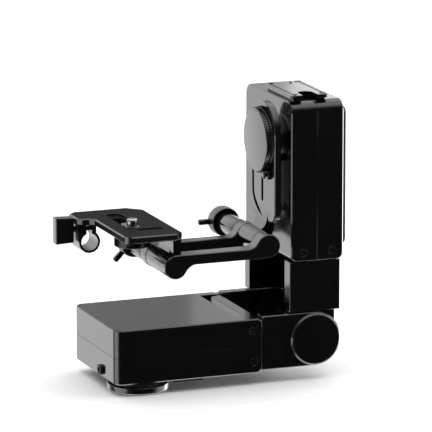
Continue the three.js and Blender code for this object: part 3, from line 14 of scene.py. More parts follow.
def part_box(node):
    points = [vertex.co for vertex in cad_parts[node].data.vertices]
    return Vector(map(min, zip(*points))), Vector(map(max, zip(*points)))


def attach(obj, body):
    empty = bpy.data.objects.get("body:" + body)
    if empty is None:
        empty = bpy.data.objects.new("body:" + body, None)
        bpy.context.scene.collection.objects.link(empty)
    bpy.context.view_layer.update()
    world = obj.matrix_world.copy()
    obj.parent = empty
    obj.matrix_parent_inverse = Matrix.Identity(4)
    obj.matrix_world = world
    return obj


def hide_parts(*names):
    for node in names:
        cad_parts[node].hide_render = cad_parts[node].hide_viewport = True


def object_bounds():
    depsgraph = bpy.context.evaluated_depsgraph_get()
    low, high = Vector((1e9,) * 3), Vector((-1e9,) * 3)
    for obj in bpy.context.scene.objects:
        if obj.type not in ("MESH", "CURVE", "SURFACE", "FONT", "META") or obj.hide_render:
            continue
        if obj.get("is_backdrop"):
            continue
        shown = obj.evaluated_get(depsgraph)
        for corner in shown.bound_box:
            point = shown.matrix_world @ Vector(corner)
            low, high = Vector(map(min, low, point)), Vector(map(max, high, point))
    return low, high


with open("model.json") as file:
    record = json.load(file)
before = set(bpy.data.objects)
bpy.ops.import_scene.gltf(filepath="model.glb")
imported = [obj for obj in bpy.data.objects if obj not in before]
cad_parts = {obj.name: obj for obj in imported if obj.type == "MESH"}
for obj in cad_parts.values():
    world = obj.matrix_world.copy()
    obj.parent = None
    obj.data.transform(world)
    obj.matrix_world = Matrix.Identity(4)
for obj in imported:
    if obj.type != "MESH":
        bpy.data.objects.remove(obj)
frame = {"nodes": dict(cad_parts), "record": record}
cad_low, cad_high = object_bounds()
MM = 0.001

# %% [markdown]
# The camera stands where the photographer stood, a little above the head and far away, which keeps the
# edges almost parallel. Its long lens is worked out from the picture's width and from the focal length in
# picture points, which comes from fitting the solids' edges to the photo.


# %% Camera
def placed_object(name, data):
    """A new object in the scene."""
    made = bpy.data.objects.new(name, data)
    bpy.context.scene.collection.objects.link(made)
    return made


PICTURE_WIDTH = 432
FOCAL_PIXELS = 4556
SENSOR = 36
CAMERA_PLACE = (-1290.5 * MM, -3548.7 * MM, 980.6 * MM)
CAMERA_TURN = math.radians(21)
CAMERA_DIP = math.radians(12.4)
FARTHEST_SEEN = 20

data = bpy.data.cameras.new("camera")
data.sensor_fit = "HORIZONTAL"
data.sensor_width = SENSOR
data.lens = SENSOR * FOCAL_PIXELS / PICTURE_WIDTH
data.clip_end = FARTHEST_SEEN
camera = placed_object("camera", data)
level = math.cos(CAMERA_DIP)
ahead = Vector((math.sin(CAMERA_TURN) * level, math.cos(CAMERA_TURN) * level, -math.sin(CAMERA_DIP)))
camera.location = CAMERA_PLACE
camera.rotation_mode = "QUATERNION"
camera.rotation_quaternion = ahead.to_track_quat("-Z", "Y")
bpy.context.scene.camera = camera
print("lens", round(data.lens, 1), "mm")

# %% [markdown]
# Colours are written as the eye reads them on a screen, and one function turns them to light values.
# One small function adds a node, with its settings and its links, so that each finish reads as a recipe.


# %% Helpers for the finishes
def linear(code):
    """The light value of an sRGB hex colour."""
    parts = [int(code[i : i + 2], 16) / 255 for i in (1, 3, 5)]
    return [c / 12.92 if c <= 0.04045 else ((c + 0.055) / 1.055) ** 2.4 for c in parts] + [1]


def add(tree, kind, inputs=None, **settings):
    """One node, with its settings, and with values or links put on its named or numbered inputs."""
    node = tree.nodes.new(kind)
    for name, value in settings.items():
        setattr(node, name, value)
    for name, value in (inputs or {}).items():
        socket = node.inputs[name]
        if isinstance(value, bpy.types.NodeSocket):
            tree.links.new(value, socket)
        else:
            socket.default_value = value
    return node


def start_finish(name):
    """An empty material, with its shader, its output and the object's own coordinates in metres."""
    material = bpy.data.materials.new(name)
    material.use_nodes = True
    tree = material.node_tree
    tree.nodes.clear()
    shader = add(tree, "ShaderNodeBsdfPrincipled")
    add(tree, "ShaderNodeOutputMaterial", {"Surface": shader.outputs["BSDF"]})
    place = add(tree, "ShaderNodeTexCoord").outputs["Object"]
    return material, tree, shader, place


def maths(tree, operation, first, second):
    """The result of one calculation on two values or links."""
    return add(tree, "ShaderNodeMath", {0: first, 1: second}, operation=operation).outputs[0]


def per_metre(millimetres):
    """The scale of a pattern whose cells are this wide."""
    return 1 / (millimetres * MM)


def spread(tree, value, low, high, start=0.35, end=0.65):
    """Stretches the middle values of a pattern, or those between start and end, over a range."""
    inputs = {"Value": value, "From Min": start, "From Max": end, "To Min": low, "To Max": high}
    return add(tree, "ShaderNodeMapRange", inputs).outputs["Result"]


def grain(tree, place, millimetres, detail=2.0):
    """Soft random grain of one size."""
    inputs = {"Vector": place, "Scale": per_metre(millimetres), "Detail": detail}
    return add(tree, "ShaderNodeTexNoise", inputs).outputs["Fac"]


def tint(tree, amount, dark, light):
    """A colour between two, by a pattern. Inputs 6 and 7 and output 2 of the mix node are its colours."""
    inputs = {"Factor": amount, 6: linear(dark), 7: linear(light)}
    return add(tree, "ShaderNodeMix", inputs, data_type="RGBA").outputs[2]


def mixed(tree, amount, first, second):
    """A value between two, by a pattern."""
    return add(tree, "ShaderNodeMix", {"Factor": amount, "A": first, "B": second}).outputs["Result"]


def stretched(tree, place, scale_y):
    """The coordinates with Y drawn out, which turns grain into lines along it."""
    return add(tree, "ShaderNodeMapping", {"Vector": place, "Scale": (1, scale_y, 1)}).outputs["Vector"]


def paint(tree, shader, colour, roughness, height=None, depth_mm=0, **constants):
    """Puts links on the shader's colour and roughness, a raised pattern, and constants on other inputs."""
    tree.links.new(colour, shader.inputs["Base Color"])
    tree.links.new(roughness, shader.inputs["Roughness"])
    if height:
        relief = add(tree, "ShaderNodeBump", {"Height": height, "Strength": 1.0, "Distance": depth_mm * MM})
        tree.links.new(relief.outputs["Normal"], shader.inputs["Normal"])
    for name, value in constants.items():
        shader.inputs[name.replace("_", " ")].default_value = value


# %% [markdown]
# The covers are cast aluminium under a satin black powder coat.
# Powder flows into very small hills as it is baked, so reflections break up softly, and hands leave
# large faint patches that are a little shinier. The hills are drawn 1.4 mm apart, coarser than real,
# so that the picture can show them at all.


# %% Satin black powder coat
def satin_black_powder_coat():
    material, tree, shader, place = start_finish("satin_black_powder_coat")
    hills = grain(tree, place, 1.4)
    patches = grain(tree, place, 38)
    colour = tint(tree, patches, "#0a0a0b", "#0e0e0f")
    roughness = spread(tree, patches, 0.13, 0.18)
    paint(tree, shader, colour, roughness, hills, 0.0008, Coat_Weight=0.2, Coat_Roughness=0.1)
    return material


# %% [markdown]
# Arms, bars, rings and knobs are milled aluminium, anodised black. The dye sits in a hard glassy layer,
# so the surface is dark but mirrors its surroundings in a soft stretched way. Fine turning lines run
# round or along the piece, and a few rubbed patches are paler.


# %% Black anodised aluminium
def black_anodised_aluminium():
    material, tree, shader, place = start_finish("black_anodised_aluminium")
    rubbed = grain(tree, place, 22, 5.0)
    lines = grain(tree, stretched(tree, place, 0.05), 0.9, 3.0)
    colour = tint(tree, rubbed, "#0a0a0b", "#0f0f11")
    roughness = spread(tree, lines, 0.13, 0.18)
    paint(tree, shader, colour, roughness, lines, 0.0004, Coat_Weight=0.25, Coat_Roughness=0.08)
    return material


# %% [markdown]
# The camera plate is blasted with fine beads before it is anodised, so that it grips a camera.
# The blasting leaves an even frosting that swallows reflections. Its edges are cut afterwards, and stay
# smooth: the finish tells them by their slanting normal, so they need no second material.


# %% Bead blasted anodised aluminium
def cut_edges(tree):
    """One on faces that slant to the axes, as cut edges do, and zero on faces that lie along them."""
    facing = add(tree, "ShaderNodeTexCoord").outputs["Normal"]
    upright = add(tree, "ShaderNodeVectorMath", {0: facing}, operation="ABSOLUTE").outputs[0]
    parts = add(tree, "ShaderNodeSeparateXYZ", {"Vector": upright}).outputs
    largest = maths(tree, "MAXIMUM", maths(tree, "MAXIMUM", parts["X"], parts["Y"]), parts["Z"])
    return spread(tree, largest, 1.0, 0.0, 0.9, 0.96)


def bead_blasted_anodised_aluminium():
    material, tree, shader, place = start_finish("bead_blasted_anodised_aluminium")
    frosting = grain(tree, place, 0.9, 4.0)
    rubbed = grain(tree, place, 30, 4.0)
    edges = cut_edges(tree)
    colour = tint(tree, rubbed, "#0c0d0e", "#111213")
    roughness = mixed(tree, edges, spread(tree, frosting, 0.56, 0.66), 0.2)
    paint(tree, shader, colour, roughness, frosting, 0.003)
    tree.links.new(mixed(tree, edges, 0.05, 0.7), shader.inputs["Specular IOR Level"])
    return material


# %% [markdown]
# Studs and pins are turned stainless steel. The lathe leaves rings round the axis, which a wave
# pattern draws 0.7 mm apart, so that the highlight breaks into fine bands.


# %% Turned stainless steel
WAVES_PER_SCALE = 20


def turned_stainless_steel():
    material, tree, shader, place = start_finish("turned_stainless_steel")
    inputs = {"Vector": place, "Scale": per_metre(0.7) / WAVES_PER_SCALE, "Distortion": 1.2, "Detail": 2.0}
    rings = add(tree, "ShaderNodeTexWave", inputs, bands_direction="Z").outputs["Fac"]
    stain = grain(tree, place, 9, 4.0)
    colour = tint(tree, stain, "#808184", "#9fa0a2")
    paint(tree, shader, colour, spread(tree, rings, 0.2, 0.34), rings, 0.006, Metallic=1.0)
    return material


# %% [markdown]
# The battery plate, the socket and the toothed ring are moulded from black glass filled nylon.
# The mould gives it a fine even texture with no mirror, and the edges stay a little shinier.


# %% Moulded black nylon
def moulded_black_nylon():
    material, tree, shader, place = start_finish("moulded_black_nylon")
    texture = grain(tree, place, 0.8, 3.0)
    clouds = grain(tree, place, 16, 3.0)
    colour = tint(tree, clouds, "#0f1010", "#18191a")
    paint(tree, shader, colour, spread(tree, texture, 0.48, 0.62), texture, 0.004)
    return material


# %% [markdown]
# The screws are steel with a black oxide skin. It is thin and oily, so dark but with a sharp glint,
# and brown grey where a key has rubbed it.


# %% Black oxide steel
def black_oxide_steel():
    material, tree, shader, place = start_finish("black_oxide_steel")
    rub = grain(tree, place, 1.8, 4.0)
    colour = tint(tree, rub, "#1c1b1a", "#383532")
    paint(tree, shader, colour, spread(tree, rub, 0.26, 0.42), rub, 0.004, Metallic=0.8)
    return material


# %% [markdown]
# Inside the covers there are machined brass wheels, drawn steel motor cans and green circuit boards.
# They hardly show, but each still gets its own finish, so that the model also holds up when it is opened.


# %% Finishes of the inner pieces
def machined_brass():
    material, tree, shader, place = start_finish("machined_brass")
    tarnish = grain(tree, place, 5, 5.0)
    colour = tint(tree, tarnish, "#b08a4c", "#d0ab68")
    paint(tree, shader, colour, spread(tree, tarnish, 0.24, 0.38), Metallic=1.0)
    return material


def drawn_steel_can():
    material, tree, shader, place = start_finish("drawn_steel_can")
    streaks = grain(tree, stretched(tree, place, 0.08), 1.2, 3.0)
    colour = tint(tree, streaks, "#6f7275", "#8c8f92")
    paint(tree, shader, colour, spread(tree, streaks, 0.3, 0.44), Metallic=1.0)
    return material


def green_solder_mask():
    material, tree, shader, place = start_finish("green_solder_mask")
    inputs = {"Vector": place, "Scale": per_metre(4), "Mortar Size": 0.03}
    tracks = add(tree, "ShaderNodeTexBrick", inputs).outputs["Fac"]
    colour = tint(tree, tracks, "#0f4a2c", "#1d6a42")
    paint(tree, shader, colour, spread(tree, grain(tree, place, 2.5), 0.2, 0.3))
    return material


def gold_plated_contacts():
    material, tree, shader, place = start_finish("gold_plated_contacts")
    worn = grain(tree, place, 2.2, 4.0)
    colour = tint(tree, worn, "#8f6c38", "#a9844c")
    paint(tree, shader, colour, spread(tree, worn, 0.3, 0.42), Metallic=1.0)
    return material


# %% [markdown]
# The record names a material slot for every solid. Each slot gets one finish here, and every solid is
# painted with it, so that even a piece that gets no finer shape has its finish. The slots and the bodies
# are read from the record and not written out again, so the two can't disagree.

# %% A finish for every slot
FINISHES = {
    "cover": satin_black_powder_coat(),
    "anodised": black_anodised_aluminium(),
    "matte": bead_blasted_anodised_aluminium(),
    "steel": turned_stainless_steel(),
    "bearing": turned_stainless_steel(),
    "brass": machined_brass(),
    "motor": drawn_steel_can(),
    "board": green_solder_mask(),
    "plastic": moulded_black_nylon(),
    "contact": gold_plated_contacts(),
    "fastener": black_oxide_steel(),
}
SLOT_OF = {s["node"]: s["material_slot"] for s in frame["record"]["subparts"]}
BODY_OF = {node: body for body, nodes in frame["record"]["behaviour"]["bodies"].items() for node in nodes}
for node_name, node_object in frame["nodes"].items():
    node_object.data.materials.clear()
    node_object.data.materials.append(FINISHES[SLOT_OF[node_name]])
print("finishes", len(FINISHES))

# %% [markdown]
# Every finished piece goes through the same few steps. A solid comes as loose triangles, so its corners
# are welded and flat triangles are merged back to whole faces. Modifiers are applied at once, which leaves
# plain mesh. Then the piece is painted with its slot's finish and rides on its body, and where it stands for
# a solid, that solid is hidden.


# %% Steps that every piece goes through
FLAT_DEGREES = 1.0
SHELL_FLAT_DEGREES = 0.2
WELD_REACH = 0.002
SHELL_WELD_REACH = 0.05
ROUND_DEGREES = 40


def plain_copy(name, mesh, finish):
    """A new object at the origin that holds a mesh with one finish."""
    mesh.name = name
    mesh.materials.clear()
    mesh.materials.append(FINISHES[finish])
    return placed_object(name, mesh)


def applied(made):
    """The object's mesh as its modifiers leave it, now plain."""
    shown = made.evaluated_get(bpy.context.evaluated_depsgraph_get())
    mesh = bpy.data.meshes.new_from_object(shown)
    made.modifiers.clear()
    made.data = mesh


def weld(mesh, flat_degrees=FLAT_DEGREES, reach=WELD_REACH):
    """Joins the corners of loose triangles and merges flat ones to whole faces."""
    work = bmesh.new()
    work.from_mesh(mesh)
    bmesh.ops.remove_doubles(work, verts=work.verts, dist=reach * MM)
    angle = math.radians(flat_degrees)
    bmesh.ops.dissolve_limit(work, angle_limit=angle, verts=work.verts, edges=work.edges)
    work.to_mesh(mesh)
    work.free()


def smooth_by_angle(mesh, degrees):
    """Smooth shading, with the edges sharper than an angle left sharp."""
    for face in mesh.polygons:
        face.use_smooth = True
    mesh.set_sharp_from_angle(angle=math.radians(degrees))


def shaded(made, degrees):
    """Smooth shading up to an angle, with the normals of broad flat faces kept straight."""
    smooth_by_angle(made.data, degrees)
    weighted = made.modifiers.new("flat faces stay flat", "WEIGHTED_NORMAL")
    weighted.keep_sharp = True
    weighted.weight = 100
    applied(made)


def stands_for(made, node, replace=True):
    """The piece rides on the node's body and, unless told not to, is shown in its place."""
    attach(made, BODY_OF[node])
    if replace:
        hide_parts(node)


def carve(made, meshes, operation="DIFFERENCE"):
    """Cuts the object by each mesh, or joins them to it, and throws the helpers away."""
    helpers = []
    for mesh in meshes:
        helper = placed_object("helper", mesh)
        helpers.append(helper)
        modifier = made.modifiers.new("carve", "BOOLEAN")
        modifier.operation = operation
        modifier.solver = "EXACT"
        modifier.object = helper
    applied(made)
    for helper in helpers:
        bpy.data.objects.remove(helper)


# %% [markdown]
# Each plate and arm starts from its own solid, so that it can't drift from the frame. A narrow bevel
# rounds its sharp edges, because a real edge always catches a thin line of light. Modelling each one
# again by hand would give the same faces, with more to go wrong.


# %% Dress a solid
EDGE_STEPS = 2
SOFT_DEGREES = 34


def dressed(node, edge_mm, cutters=(), joined=()):
    """A copy of a solid, with meshes joined to it and cut from it, and its sharp edges rounded."""
    mesh = frame["nodes"][node].data.copy()
    weld(mesh)
    made = plain_copy(node + "_dressed", mesh, SLOT_OF[node])
    carve(made, joined, "UNION")
    carve(made, cutters)
    bevel = made.modifiers.new("edge", "BEVEL")
    bevel.width = edge_mm * MM
    bevel.segments = EDGE_STEPS
    bevel.limit_method = "ANGLE"
    bevel.angle_limit = math.radians(SOFT_DEGREES)
    applied(made)
    shaded(made, SOFT_DEGREES)
    stands_for(made, node)
    print(node, len(made.data.polygons), "faces")


DRESSED = {
    "underside_pad": 0.2,
    "battery_plate": 0.25,
    "battery_contacts": 0.12,
    "battery_release_button": 0.3,
    "rail_plate": 0.2,
    "arm_front": 0.2,
    "arm_rear": 0.2,
    "head_bracket": 0.3,
    "rod_clamp": 0.3,
    "rod_clamp_key": 0.4,
}
for node_name, edge in DRESSED.items():
    dressed(node_name, edge)

# %% [markdown]
# Discs, hubs, sleeves and studs were turned on a lathe, so they are made the same way here.
# A half outline is spun round an axis in 96 steps, with its corners rounded first.
# The solids have 28 sides at most, because a physics model wants few faces, but the eye wants a true circle.

# %% The lathe
SIDES = 96
ON_AXIS = 1e-6
AXIS_TURNS = {
    "X": Matrix(((0, 0, 1), (1, 0, 0), (0, 1, 0))).to_4x4(),
    "Y": Matrix(((0, 1, 0), (0, 0, 1), (1, 0, 0))).to_4x4(),
    "Z": Matrix.Identity(4),
}


def moved(x, y, z):
    """The matrix of a move in mm."""
    return Matrix.Translation(Vector((x, y, z)) * MM)


def placed_on(axis, centre):
    """The matrix that lays a piece made along Z on an axis through a point of the cross plane, in mm."""
    across, up = centre
    spot = {"X": (0, across, up), "Y": (across, 0, up), "Z": (across, up, 0)}[axis]
    return moved(*spot) @ AXIS_TURNS[axis]


def softened(profile, radius):
    """Rounds each inner corner of a [radius, place] outline."""
    steps = 3
    out = [profile[0]]
    for before, here, after in zip(profile, profile[1:], profile[2:]):
        here, back, ahead = Vector(here), Vector(before) - Vector(here), Vector(after) - Vector(here)
        reach = min(radius, back.length / 2.2, ahead.length / 2.2)
        start = here + back.normalized() * reach
        end = here + ahead.normalized() * reach
        for i in range(steps + 1):
            t = i / steps
            out.append(tuple(start * (1 - t) ** 2 + here * 2 * t * (1 - t) + end * t**2))
    return out + [profile[-1]]


def mesh_of(work, name):
    """A new mesh with the faces that were worked out."""
    mesh = bpy.data.meshes.new(name)
    work.to_mesh(mesh)
    work.free()
    return mesh


def lathe_mesh(name, profile, sides=SIDES):
    """Spins a [radius, place] outline in mm round Z. It starts and ends on the axis, or closes on itself."""
    work = bmesh.new()
    closed = profile[0] == profile[-1]
    points = profile[:-1] if closed else profile
    rows = []
    for radius, place in points:
        if radius < ON_AXIS:
            rows.append([work.verts.new((0, 0, place * MM))])
            continue
        turn = [2 * math.pi * i / sides for i in range(sides)]
        ring = [(radius * math.cos(a) * MM, radius * math.sin(a) * MM, place * MM) for a in turn]
        rows.append([work.verts.new(spot) for spot in ring])
    following = rows[1:] + rows[:1] if closed else rows[1:]
    for first, second in zip(rows, following):
        for i in range(sides):
            j = (i + 1) % sides
            corners = [first[i % len(first)], first[j % len(first)]]
            corners += [second[j % len(second)], second[i % len(second)]]
            kept = list(dict.fromkeys(corners))
            if len(kept) > 2:
                work.faces.new(kept)
    bmesh.ops.recalc_face_normals(work, faces=work.faces)
    return mesh_of(work, name)


def turned(node, axis, centre, profile, soft_mm, ending="_turned", replace=True):
    """A turned piece on an axis."""
    name = node + ending
    mesh = lathe_mesh(name, softened(profile, soft_mm))
    mesh.transform(placed_on(axis, centre))
    made = plain_copy(name, mesh, SLOT_OF[node])
    smooth_by_angle(made.data, ROUND_DEGREES)
    stands_for(made, node, replace)


def span(node, axis):
    """Where a node starts and ends along an axis, in mm."""
    i = "XYZ".index(axis)
    low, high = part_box(node)
    return low[i] / MM, high[i] / MM


def disc(radius, start, end, bore, chamfer, chamfer_start):
    """The outline of a disc, with a chamfer on the far edge and one on the near edge."""
    outer = [(bore, start), (radius - chamfer_start, start), (radius, start + chamfer_start)]
    outer += [(radius, end - chamfer), (radius - chamfer, end), (bore, end)]
    outline = list(dict.fromkeys(outer))
    return outline + [outline[0]] if bore else outline


# %% [markdown]
# The turned pieces sit on a few axes, each named here by the place where it crosses its plane. How far
# a piece reaches is read from its solid, so only radii and steps are given. Sleeves get two shallow
# grooves, as on the barrels in the photo.

# %% Turned pieces
TILT = (0, 208.6)
HINGE = (153.2, 35.65)
PIVOTS = {"right": (106.4, 123), "left": (22, 111.35)}
STUD = (-4.5, 0)
BASE = (0, 0)
LUG = (-15.5, 181.1)
TRIPOD_BORE = 4.76
PIN_BORE = 4.1
HUB_SHOULDER, HUB_FACE = 121, 130.1
GROOVES = (2.4, 4.8)

low, high = span("base_disc", "Z")
turned("base_disc", "Z", BASE, disc(26.3, low, high, TRIPOD_BORE, 0.5, 1), 0.25)
for side, chamfer, chamfer_start in (("front", 0, 1.6), ("back", 1.6, 0)):
    node_name = "hinge_disc_" + side
    outline = disc(23, *span(node_name, "Y"), 0, chamfer, chamfer_start)
    turned(node_name, "Y", HINGE, outline, 0.2)

low, high = span("tilt_hub", "X")
hub = [(0, low), (2.1, low), (2.1, HUB_SHOULDER), (19.2, HUB_SHOULDER), (20, HUB_SHOULDER + 0.8)]
hub += [(20, HUB_FACE), (10, HUB_FACE), (10, high), (0, high)]
turned("tilt_hub", "X", TILT, hub, 0.3)
lug = disc(4.6, *span("knob_flange", "X"), 1.9, 0.2, 0.4)
turned("knob_flange", "X", LUG, lug, 0.1, "_lug", replace=False)
low, high = span("slide_lock_button", "X")
button = [(0, low), (2.4, low), (3.4, low + 0.9), (3.4, low + 2.3), (1.7, low + 2.3), (1.7, high), (0, high)]
turned("slide_lock_button", "X", LUG, button, 0.5)
low, high = span("camera_stud", "Z")
stud = [(0, low), (4.75, low), (4.75, high - 1.4), (4.1, high - 0.6), (2.6, high), (0, high)]
turned("camera_stud", "Z", STUD, stud, 0.5)
turned("hinge_pin", "Y", HINGE, disc(6, *span("hinge_pin", "Y"), 0, 0.3, 0.3), 0.1)

for side, pivot in PIVOTS.items():
    low, high = span(side + "_sleeve", "Y")
    outline = [(PIN_BORE, low), (9.2, low)]
    for start in (low + groove for groove in GROOVES):
        outline += [(9.2, start), (8.8, start + 0.1), (8.8, start + 0.7), (9.2, start + 0.8)]
    outline += [(9.2, high), (PIN_BORE, high), (PIN_BORE, low)]
    turned(side + "_sleeve", "Y", pivot, outline, 0.15)
    outline = disc(4, *span(side + "_pin", "Y"), 0, 0.4, 0.4)
    turned(side + "_pin", "Y", pivot, outline, 0.1)

# %% [markdown]
# Covers, cutters and small blocks all start as a box between two corners. Large rounds go on named edges
# first, and a fine bevel on what is still sharp after them.


# %% Rounded blocks
AT_EDGE = 0.01


def inset_corners(low, high, by):
    """The two corners of a box that is drawn in on every side."""
    return [v + by for v in low], [v - by for v in high]


def rounded_block(name, low, high, rounds=(), by=0, fine_edge=0, segments=10, seam=None):
    """A box between two corners in mm, drawn in by a distance. Each round names its edge by the low (0)
    or high (1) side of two axes, and has a radius. A fine edge goes on all sharp edges, or on a seam's."""
    low, high = inset_corners(low, high, by)
    work = bmesh.new()
    bmesh.ops.create_cube(work, size=1)
    for vert in work.verts:
        vert.co = [(low[i] if vert.co[i] < 0 else high[i]) * MM for i in range(3)]
    for sides, radius in rounds:
        places = {axis: (low, high)[side][axis] for axis, side in sides.items()}
        on_edge = [v for v in work.verts if all(abs(v.co[i] / MM - at) < AT_EDGE for i, at in places.items())]
        edges = [edge for edge in work.edges if all(vert in on_edge for vert in edge.verts)]
        offset = (radius - by) * MM
        bmesh.ops.bevel(work, geom=edges, offset=offset, segments=segments, profile=0.5, affect="EDGES")
    if fine_edge:
        sharp = [edge for edge in work.edges if edge.calc_face_angle() > math.radians(ROUND_DEGREES)]
        if seam:
            axis, place = seam
            sharp = [e for e in sharp if all(abs(v.co[axis] / MM - place) < AT_EDGE for v in e.verts)]
        bmesh.ops.bevel(work, geom=sharp, offset=fine_edge * MM, segments=1, affect="EDGES")
    return mesh_of(work, name)


# %% [markdown]
# The four cover shells get fresh outsides, because their broken edges draw most of the bright lines.
# A block is rounded and hollowed, the inside of the CAD shell is joined to it, and pockets and windows
# are cut last, because a bevel after the cuts would eat into every pocket. The two halves of a cover
# leave a gap at the seam, and a very small broken edge there shows as a hair line.


# %% Cover shell steps
COVER_EDGE = 0.9
HALF_GAP = 0.13
HAIR = 0.02
POCKET_SIDES = 48
SCREW_POCKET = [(0, -1), (5.2, -1), (3.7, 0.5), (3.7, 1.9), (1.62, 1.9), (1.62, 8.9), (0, 8.9)]


def drill(axis, centre, radius, start, end, sides=POCKET_SIDES):
    """A plain cutting rod along an axis, in mm."""
    mesh = lathe_mesh("drill", [(0, start), (radius, start), (radius, end), (0, end)], sides)
    mesh.transform(placed_on(axis, centre))
    return mesh


def screw_cutters(places, front, back):
    """Pockets with a countersunk mouth, and holes, for the screws that enter the front and back faces."""
    cutters = []
    for x, z in places:
        for face, inward in ((front, 1), (back, -1)):
            profile = [(radius, face + inward * depth) for radius, depth in SCREW_POCKET]
            mesh = lathe_mesh("pocket", profile, POCKET_SIDES)
            mesh.transform(placed_on("Y", (x, z)))
            cutters.append(mesh)
    return cutters


def half(low, high, rounds, axis, side, seam, broken):
    """One side of a block up to its seam, with a broken edge there. Other faces lie a hair outside."""
    low, high = inset_corners(low, high, -HAIR)
    place = seam - HALF_GAP if side == 0 else seam + HALF_GAP
    (high if side == 0 else low)[axis] = place
    kept = [(sides, radius) for sides, radius in rounds if sides.get(axis, side) == side]
    return rounded_block("half", low, high, kept, 0, broken, seam=(axis, place))


def cover_shell(node, low, high, rounds, wall, keep, cutters):
    """The part of a hollow block that lies in the keep mesh, joined to the inside of the CAD shell."""
    outside = rounded_block(node, low, high, rounds, 0, COVER_EDGE)
    made = plain_copy(node + "_fresh", outside, SLOT_OF[node])
    carve(made, [rounded_block("room", low, high, rounds, wall - 0.1)])
    carve(made, [keep], "INTERSECT")
    inside = frame["nodes"][node].data.copy()
    weld(inside)
    inside = plain_copy(node + "_inside", inside, SLOT_OF[node])
    carve(inside, [rounded_block("core", low, high, rounds, wall - 0.5)], "INTERSECT")
    carve(made, [inside.data.copy()], "UNION")
    bpy.data.objects.remove(inside)
    carve(made, cutters)
    weld(made.data, SHELL_FLAT_DEGREES, SHELL_WELD_REACH)
    shaded(made, ROUND_DEGREES)
    stands_for(made, node)
    print(node, len(made.data.polygons), "faces")


# %% [markdown]
# The pan housing lies flat and is split halfway up. The tilt case stands and is split the other way.
# Sizes, rounds and seams are those of the solids. The faces of most cutters lie a hair away from those
# of the solids' own openings, because a Boolean cut is surest where no two faces fall together.

# %% Cover shells
PAN_LOW, PAN_HIGH = (-29.2, -27, 10.4), (104, 81, 58.1)
PAN_ROUNDS = [({0: 0, 1: 0}, 8), ({0: 0, 1: 1}, 8), ({0: 1, 2: 0}, 5.5), ({0: 1, 2: 1}, 5.5)]
PAN_WALL, PAN_SEAM, PAN_SEAM_EDGE = 2.5, 33.6, 0.05
PAN_FRONT, PAN_BACK = PAN_LOW[1], PAN_HIGH[1]
PAN_SCREWS = [(95.4, 21.1), (95.4, 48.6)]
CASE_LOW, CASE_HIGH = (130.4, -26.4, 104.6), (178.5, 80.4, 243.3)
CASE_ROUNDS = [({1: 0, 2: 1}, 10), ({1: 1, 2: 1}, 10), ({0: 0, 2: 0}, 6), ({0: 1, 2: 0}, 6)]
CASE_WALL, CASE_SEAM, CASE_SEAM_EDGE = 3, 154.2, 0.14
CASE_FRONT, CASE_BACK = CASE_LOW[1], CASE_HIGH[1]
CASE_SCREWS = [(141, 113.1), (167.9, 113.1)]
SOCKET_ROUNDS = [({1: i, 2: j}, 1.8) for i in (0, 1) for j in (0, 1)]


def pan_cutters():
    """Room for the fork, the cable window, the power socket's seat and the hole round the spindle."""
    return [
        rounded_block("fork_room", (93.38, -24.52, 12.88), (106, 78.52, 55.62)),
        rounded_block("window", (83.98, -12.62, 54), (102.72, 71.02, 60)),
        rounded_block("socket_room", (-31, 5.98, 12.28), (-19.58, 14.62, 20.92), SOCKET_ROUNDS, 0, 0, 6),
        drill("Z", BASE, 12.35, 9, 14),
    ] + screw_cutters(PAN_SCREWS, PAN_FRONT, PAN_BACK)


def case_cutters():
    """The hole that the tilt hub comes out of, and the screw pockets."""
    hub_hole = drill("X", TILT, 10.34, 129, 133.9, 64)
    return [hub_hole] + screw_cutters(CASE_SCREWS, CASE_FRONT, CASE_BACK)


for side, node_name in enumerate(("pan_shell_lower", "pan_shell_upper")):
    keep = half(PAN_LOW, PAN_HIGH, PAN_ROUNDS, 2, side, PAN_SEAM, PAN_SEAM_EDGE)
    cover_shell(node_name, PAN_LOW, PAN_HIGH, PAN_ROUNDS, PAN_WALL, keep, pan_cutters())
for side, node_name in enumerate(("case_inner_shell", "case_outer_shell")):
    keep = half(CASE_LOW, CASE_HIGH, CASE_ROUNDS, 0, side, CASE_SEAM, CASE_SEAM_EDGE)
    cover_shell(node_name, CASE_LOW, CASE_HIGH, CASE_ROUNDS, CASE_WALL, keep, case_cutters())

# %% [markdown]
# A few pieces need more shape than their solid has. The solids stay plain where a physics model gains
# nothing, and here the same pieces are milled further: material is joined on, and cutters take it away.
# An outline drawn out along an axis is the shape that an end mill leaves, so most of it is made that way.


# %% Outlines drawn out
def prism(name, axis, outline, start, end):
    """An outline drawn out along an axis between two places, all in mm."""
    count = len(outline)
    work = bmesh.new()
    made = []
    for place in (start, end):
        for point in outline:
            spot = list(point)
            spot.insert("XYZ".index(axis), place)
            made.append(work.verts.new([v * MM for v in spot]))
    work.faces.new(made[:count])
    work.faces.new(made[count:])
    for i in range(count):
        j = (i + 1) % count
        work.faces.new([made[i], made[j], made[count + j], made[count + i]])
    bmesh.ops.recalc_face_normals(work, faces=work.faces)
    return mesh_of(work, name)


def arc(centre, radius, degrees):
    """Points of a circle at these angles, in mm."""
    turns = [math.radians(a) for a in degrees]
    return [(centre[0] + radius * math.cos(turn), centre[1] + radius * math.sin(turn)) for turn in turns]


# %% [markdown]
# The fork block has a sloping apron under the cable window, which leads the cables down and catches the
# light, and a block behind the rounded corner of its cover. The rear wall of the column reaches down to
# its ear in a hollow curve. The block and this foot close gaps that would show the ground.

